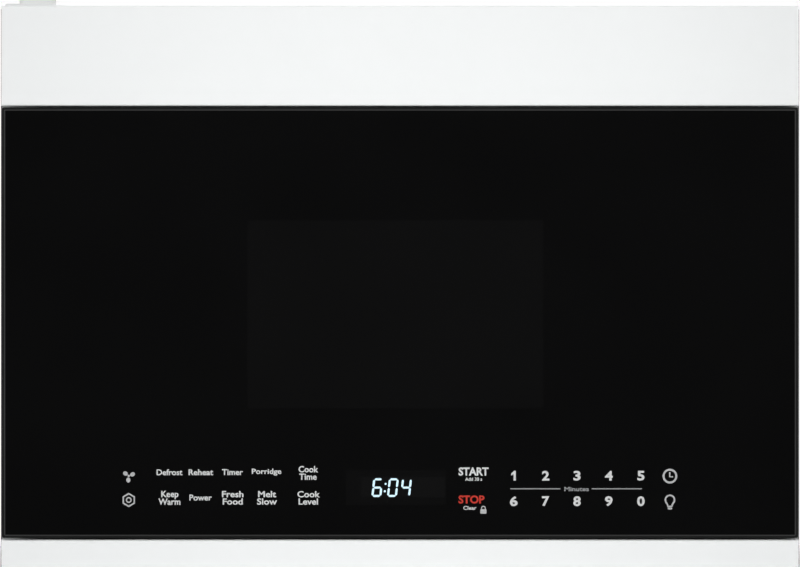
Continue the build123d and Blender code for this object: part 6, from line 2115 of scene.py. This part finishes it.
@dataclass
class LatchSpring:
    """Compression spring between the latch bar and its stop in the door.

    Attributes:
        wire: Radius of the wire.
        turns: Turns that work.
        closed: Turns laid flat at each end.
        steps: Rings of points in a turn.
        sides: Facets round the wire.
        travel: Lift of the latch bar; not used.
    """

    wire: float = 0.42 * MM
    turns: float = 5.0
    closed: float = 1.0
    steps: int = 20
    sides: int = 8
    travel: float = 3.0 * MM

    def build(self) -> None:
        """Winds the spring."""
        low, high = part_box("latch_spring")
        centre = Vector(((low.x + high.x) / 2, (low.y + high.y) / 2, 0.0))
        radius = (high.x - low.x) / 2 - self.wire
        count = round((self.turns + 2 * self.closed) * self.steps)
        work = Workpiece("wound_latch_spring")
        work.loft(
            [
                self.wire_ring(centre, radius, step / self.steps, (low.z, high.z))
                for step in range(count + 1)
            ],
            (ZINC_STEEL,),
        )
        piece = work.done("latch", ("latch_spring",), crease=50.0)
        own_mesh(piece)

    def wire_ring(
        self, centre: Vector, radius: float, turn: float, span: Point2
    ) -> list[Vector]:
        """Points round the wire at one place along it.

        Args:
            centre: Where the spring's axis stands.
            radius: Spring's axis to the middle of the wire.
            turn: Place along the wire, in turns from its foot.
            span: Foot and top of the spring.

        Returns:
            The points of the ring.
        """
        flat = 2 * self.wire * self.closed
        low, high = span[0] + self.wire, span[1] - self.wire
        rising = (high - low - 2 * flat) / self.turns
        last = self.turns + self.closed
        height = low + 2 * self.wire * min(turn, self.closed)
        height += rising * (min(max(turn, self.closed), last) - self.closed)
        height += 2 * self.wire * max(turn - last, 0.0)
        angle = math.tau * turn
        out = Vector((math.cos(angle), math.sin(angle), 0.0))
        middle = centre + radius * out + Vector((0.0, 0.0, height))
        return [
            middle
            + self.wire * math.cos(math.tau * side / self.sides) * out
            + Vector((0.0, 0.0, self.wire * math.sin(math.tau * side / self.sides)))
            for side in range(self.sides)
        ]


# ---- Fasteners ------------------------------------------------------------------------
@dataclass
class Fasteners:
    """Screws that the cabinet, its cavity and its duct cover are held with.

    Attributes:
        sheet_head: Head of the sheet-metal screws.
        small_head: Head of the small screws.
        hook_rise: Rise of the back plate's hooks over its flat sheet.
        plate_columns: Screws along the back plate's lower edge, across.
        plate_rise: Those screws over that edge.
        frame_columns: Screws in the front frame, across.
        frame_rows: Their heights.
        mica_inset: Screws of the mica cover from its ends.
        duct_inset: Screws of the duct's blanking plate from its edges, along X and Y.
    """

    sheet_head: ScrewHead = field(default_factory=ScrewHead)
    small_head: ScrewHead = field(
        default_factory=lambda: ScrewHead(radius=2.4 * MM, height=1.1 * MM, arm=0.3 * MM)
    )
    hook_rise: float = 3.0 * MM
    plate_columns: tuple[float, ...] = (-200 * MM, -68 * MM, 68 * MM, 200 * MM)
    plate_rise: float = 12 * MM
    frame_columns: tuple[float, ...] = (-283 * MM, 198 * MM, 286 * MM)
    frame_rows: Point2 = (92 * MM, 200 * MM)
    mica_inset: float = 3.2 * MM
    duct_inset: Point2 = (5 * MM, 18 * MM)

    def build(self, repeats: Repeats) -> None:
        """Sets every group.

        Args:
            repeats: The shared trees.
        """
        groups = {
            "side_screws": (self.plate_spots(), self.sheet_head),
            "front_frame_screws": (self.front_spots(), self.small_head),
            "cavity_screws": (self.cavity_spots(), self.small_head),
            "duct_cover_screws": (self.duct_spots(), self.small_head),
        }
        for name, (spots, head) in groups.items():
            mesh = repeats.fasteners(name, spots, head)
            soften(mesh)
            mount(name, mesh, "cabinet")

    def plate_spots(self) -> list[tuple[Vector, Vector]]:
        """Screws along the back plate's lower edge.

        Returns:
            Place of each head's underside and the way that it faces.
        """
        low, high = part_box("back_plate")
        place = (high.y - self.hook_rise, low.z + self.plate_rise)
        return [(Vector((x, *place)), Vector((0, 1, 0))) for x in self.plate_columns]

    def front_spots(self) -> list[tuple[Vector, Vector]]:
        """Screws in the front frame, covered by the shut door.

        Returns:
            Place of each head's underside and the way that it faces.
        """
        low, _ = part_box("front_frame")
        return [
            (Vector((x, low.y, z)), Vector((0, -1, 0)))
            for x in self.frame_columns
            for z in self.frame_rows
        ]

    def cavity_spots(self) -> list[tuple[Vector, Vector]]:
        """Screws that hold the mica cover.

        Returns:
            Place of each head's underside and the way that it faces.
        """
        low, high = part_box("waveguide_cover")
        height = (low.z + high.z) / 2
        return [
            (Vector((low.x, y, height)), Vector((-1, 0, 0)))
            for y in (low.y + self.mica_inset, high.y - self.mica_inset)
        ]

    def duct_spots(self) -> list[tuple[Vector, Vector]]:
        """Screws through the top plate into the duct's blanking plate.

        Returns:
            Place of each head's underside and the way that it faces.
        """
        low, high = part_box("duct_cover")
        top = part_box("cabinet_wrap")[1].z
        return [
            (Vector((x, y, top)), Vector((0, 0, 1)))
            for x in (low.x + self.duct_inset[0], high.x - self.duct_inset[0])
            for y in (low.y + self.duct_inset[1], high.y - self.duct_inset[1])
        ]


# ---- Carried-over nodes ---------------------------------------------------------------
NODE_FINISHES: dict[Finish, tuple[str, ...]] = {
    WHITE_PAINT: ("cabinet_wrap",),
    WHITE_MOULDING: ("vent_grille", "cord_bushing"),
    # lower strip: lighter copy of the white moulding, as painted light
    LOWER_TRIM_PAINTED_LIGHT: ("lower_trim",),
    GALVANISED: (
        "back_plate", "base_plate", "duct_cover", "component_shelf", "cooling_fan_shroud",
        "blower_housing", "waveguide", "magnetron_yoke", "hinge_upper", "hinge_lower",
        "capacitor_clamp",
    ),
    BLACK_MOULDING: (
        "door_frame", "choke_cover", "latch_bar", "interlock_holder", "charcoal_filter_frame",
    ),
    ENAMEL: ("cavity_wrap", "cavity_floor", "cavity_back", "front_frame"),
    BLACK_COAT: ("choke_pan",),
    CLEAR_PANE: ("inner_window",),
    MICA: ("waveguide_cover",),
    GREY_MOULDING: ("roller_ring", "roller_1", "roller_2", "roller_3", "turntable_coupler"),
    ALUMINIUM: (
        "grease_filter_left", "grease_filter_right", "magnetron_fins", "hv_capacitor",
    ),
    CHARCOAL: ("charcoal_filter_media",),
    ZINC_STEEL: (
        "back_screws", "mounting_nuts", "turntable_motor", "blower_motor",
        "cooling_fan_motor",
    ),
    LAMINATIONS: ("transformer_core", "magnetron_core"),
    COPPER_WIRE: ("transformer_windings",),
    SOLDER_MASK: ("power_board", "touch_board"),
    DISPLAY_WINDOW: ("display_module",),
    FAN_MOULDING: ("cooling_fan_blade", "interlock_switches", "switch_plungers"),
    PRESSED_WHEEL: ("blower_wheels",),
    DIFFUSER: ("lamp_cover",),
    BULB_GLASS: ("cooktop_lamp_bulb",),
    CERAMIC: ("cooktop_lamp_socket", "cavity_lamp"),
}


def dress_nodes(nodes: dict[str, bpy.types.Object]) -> None:
    """Gives every carried-over node its finish.

    Args:
        nodes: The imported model's nodes by name.
    """
    for finish, names in NODE_FINISHES.items():
        material = finish.material()
        for name in names:
            for slot in nodes[name].material_slots:
                slot.material = material
        LOG.info("%s on %s", finish.name, ", ".join(names))


# ---- Studio ---------------------------------------------------------------------------
@dataclass
class Lamp:
    """A soft area lamp aimed at a point.

    Attributes:
        name: Name of the lamp.
        place: Where it hangs.
        aim: The point that it faces.
        size: Width and height of its face.
        power: Its power in watts.
        mirrored: Whether glossy surfaces show it.
    """

    name: str
    place: Place
    aim: Place
    size: Point2
    power: float
    mirrored: bool = True

    def light(self) -> bpy.types.Light:
        """The lamp's own settings.

        Returns:
            The light, not yet in the scene.
        """
        data = bpy.data.lights.new(self.name, "AREA")
        data.shape = "RECTANGLE"
        data.size, data.size_y = self.size
        return data

    def hang(self) -> None:
        """Puts the lamp in the scene, unseen by the camera."""
        data = self.light()
        data.energy = self.power
        lamp = stand(self.name, data)
        lamp.location = self.place
        way = Vector(self.aim) - Vector(self.place)
        lamp.rotation_euler = way.to_track_quat("-Z", "Y").to_euler()
        lamp.visible_camera = False
        lamp.visible_glossy = self.mirrored


@dataclass
class PoolLamp(Lamp):
    """A far lamp whose cone lights the middle of the front more than its ends.

    Attributes:
        cone: Angle of the whole cone, in degrees.
        blend: Share of the cone over which it fades.
    """

    cone: float = 16.0
    blend: float = 1.0

    def light(self) -> bpy.types.Light:
        """The lamp's own settings.

        Returns:
            The light, not yet in the scene.
        """
        data = bpy.data.lights.new(self.name, "SPOT")
        data.spot_size = math.radians(self.cone)
        data.spot_blend = self.blend
        data.shadow_soft_size = self.size[0]
        return data


@dataclass
class Studio:
    """Plain pale floor, soft light, white surroundings and the camera.

    Attributes:
        distance: Camera to the door's face.
        width: Width of the view at the door's face.
        eye_height: Height of the view's middle.
        floor_radius: Radius of the floor.
        ambient: Strength of the light from all round.
        front_dark: Reflection seen straight ahead of the door.
        around: Reflection seen to the sides.
        dark_span: Where, along Y, the one gives way to the other.
        sensor: Width of the camera's sensor, in millimetres.
        floor_steps: Points round the floor.
        floor_drop: Floor below the object.
        floor_shades: Darker and lighter shade of the floor's clouds.
        floor_fade: Where the floor fades out, as shares of its radius.
        lamps: The lamps.
    """

    distance: float = 18.0
    width: float = 606.4 * MM
    eye_height: float = 219.4 * MM
    floor_radius: float = 2.2
    ambient: float = 0.46
    front_dark: float = 0.03
    around: float = 0.95
    dark_span: Point2 = (-0.86, -0.62)
    sensor: float = 36.0
    floor_steps: int = 96
    floor_drop: float = 0.4 * MM
    floor_shades: Point2 = (0.80, 0.83)
    floor_fade: Point2 = (0.4, 0.98)
    lamps: tuple[Lamp, ...] = (
        Lamp("front_lamp", (0.0, -2.1, 0.45), (0.0, -0.2, 0.2), (0.35, 0.6), 12.0, False),
        PoolLamp("pool_lamp", (0.0, -3.2, 0.22), (0.0, -0.2, 0.22), (0.05, 0.05), 44.0, False),
        Lamp("left_lamp", (-2.3, -1.5, 1.5), (0.0, 0.0, 0.2), (1.2, 1.2), 12.0),
        Lamp("right_lamp", (2.3, -1.5, 1.5), (0.0, 0.0, 0.2), (1.2, 1.2), 12.0),
        Lamp("rear_lamp", (0.4, 2.2, 1.8), (0.0, 0.0, 0.2), (1.6, 1.2), 16.0),
    )

    def build(self) -> None:
        """Sets up the whole studio."""
        bpy.context.scene.view_settings.view_transform = "Standard"
        self.camera()
        self.world()
        self.floor()
        for lamp in self.lamps:
            lamp.hang()
        LOG.info("studio: %d lamps", len(self.lamps))

    def camera(self) -> None:
        """Looks straight at the door from far away, as the photograph does."""
        data = bpy.data.cameras.new("camera")
        data.sensor_width = self.sensor
        data.lens = self.sensor * self.distance / self.width
        camera = stand("camera", data)
        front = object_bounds()[0].y
        camera.location = (0.0, front - self.distance, self.eye_height)
        camera.rotation_euler = (math.pi / 2, 0.0, 0.0)
        bpy.context.scene.camera = camera

    def world(self) -> None:
        """White to the camera, soft light on the object, dark ahead of the glass."""
        world = bpy.data.worlds.new("studio")
        bpy.context.scene.world = world
        world.use_nodes = True
        write = ShaderWriter(world.node_tree)
        rays = write.add("ShaderNodeLightPath")
        way = write.add(
            "ShaderNodeSeparateXYZ",
            {0: write.add("ShaderNodeTexCoord").outputs["Generated"]},
        )
        mirrored = write.spread(way.outputs[1], self.front_dark, self.around, self.dark_span)
        soft, reflected, white = (
            write.add("ShaderNodeBackground", {"Color": WHITE, "Strength": strength})
            for strength in (self.ambient, mirrored, 1.0)
        )
        lit = write.add(
            "ShaderNodeMixShader", {0: rays.outputs["Is Glossy Ray"], 1: soft, 2: reflected}
        )
        seen = write.sum(
            "MAXIMUM", rays.outputs["Is Camera Ray"], rays.outputs["Is Transmission Ray"]
        )
        mixed = write.add("ShaderNodeMixShader", {0: seen, 1: lit, 2: white})
        write.add("ShaderNodeOutputWorld", {"Surface": mixed})

    def floor(self) -> None:
        """A pale disc that fades into the white round it and is clear from below."""
        mesh = bpy.data.meshes.new("floor")
        outline = ring((0.0, 0.0), self.floor_radius, self.floor_steps)
        places = [(x, y, -self.floor_drop) for x, y in outline]
        mesh.from_pydata(places, [], [range(self.floor_steps)])
        floor = stand("floor", mesh)
        material = bpy.data.materials.new("pale_floor")
        material.use_nodes = True
        write = ShaderWriter(material.node_tree)
        dark, light = ((shade, shade, shade) for shade in self.floor_shades)
        paint = write.add(
            "ShaderNodeBsdfPrincipled",
            {
                "Base Color": write.blend(write.noise(0.4, 3.0), dark, light),
                "Roughness": 0.7,
                "Specular IOR Level": 0.2,
            },
        )
        distance = write.add(
            "ShaderNodeVectorMath", {0: write.place()}, operation="LENGTH"
        ).outputs["Value"]
        start, end = (self.floor_radius * share for share in self.floor_fade)
        rim = write.spread(distance, 0.0, 1.0, (start, end))
        below = write.add("ShaderNodeNewGeometry").outputs["Backfacing"]
        gone = write.sum("MAXIMUM", rim, below)
        mixed = write.add(
            "ShaderNodeMixShader",
            {0: gone, 1: paint, 2: write.add("ShaderNodeBsdfTransparent")},
        )
        write.add("ShaderNodeOutputMaterial", {"Surface": mixed})
        mesh.materials.append(material)
        floor.visible_glossy = False
        floor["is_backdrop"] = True


def main() -> None:
    """Loads the frame, dresses it and sets up the studio."""
    logging.basicConfig(level=logging.INFO, format="%(message)s")
    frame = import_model()
    Studio().build()
    dress_nodes(frame["nodes"])
    repeats = Repeats()
    DoorGlass().build()
    KeyLegends().build()
    KeyIcons().build()
    ClockDisplay().build()
    DoorScreen().build(repeats)
    GlassTray().build()
    for side in ("left", "right"):
        FilterMesh().build(side, repeats)
    LatchSpring().build()
    Fasteners().build(repeats)


if __name__ == "__main__":
    main()
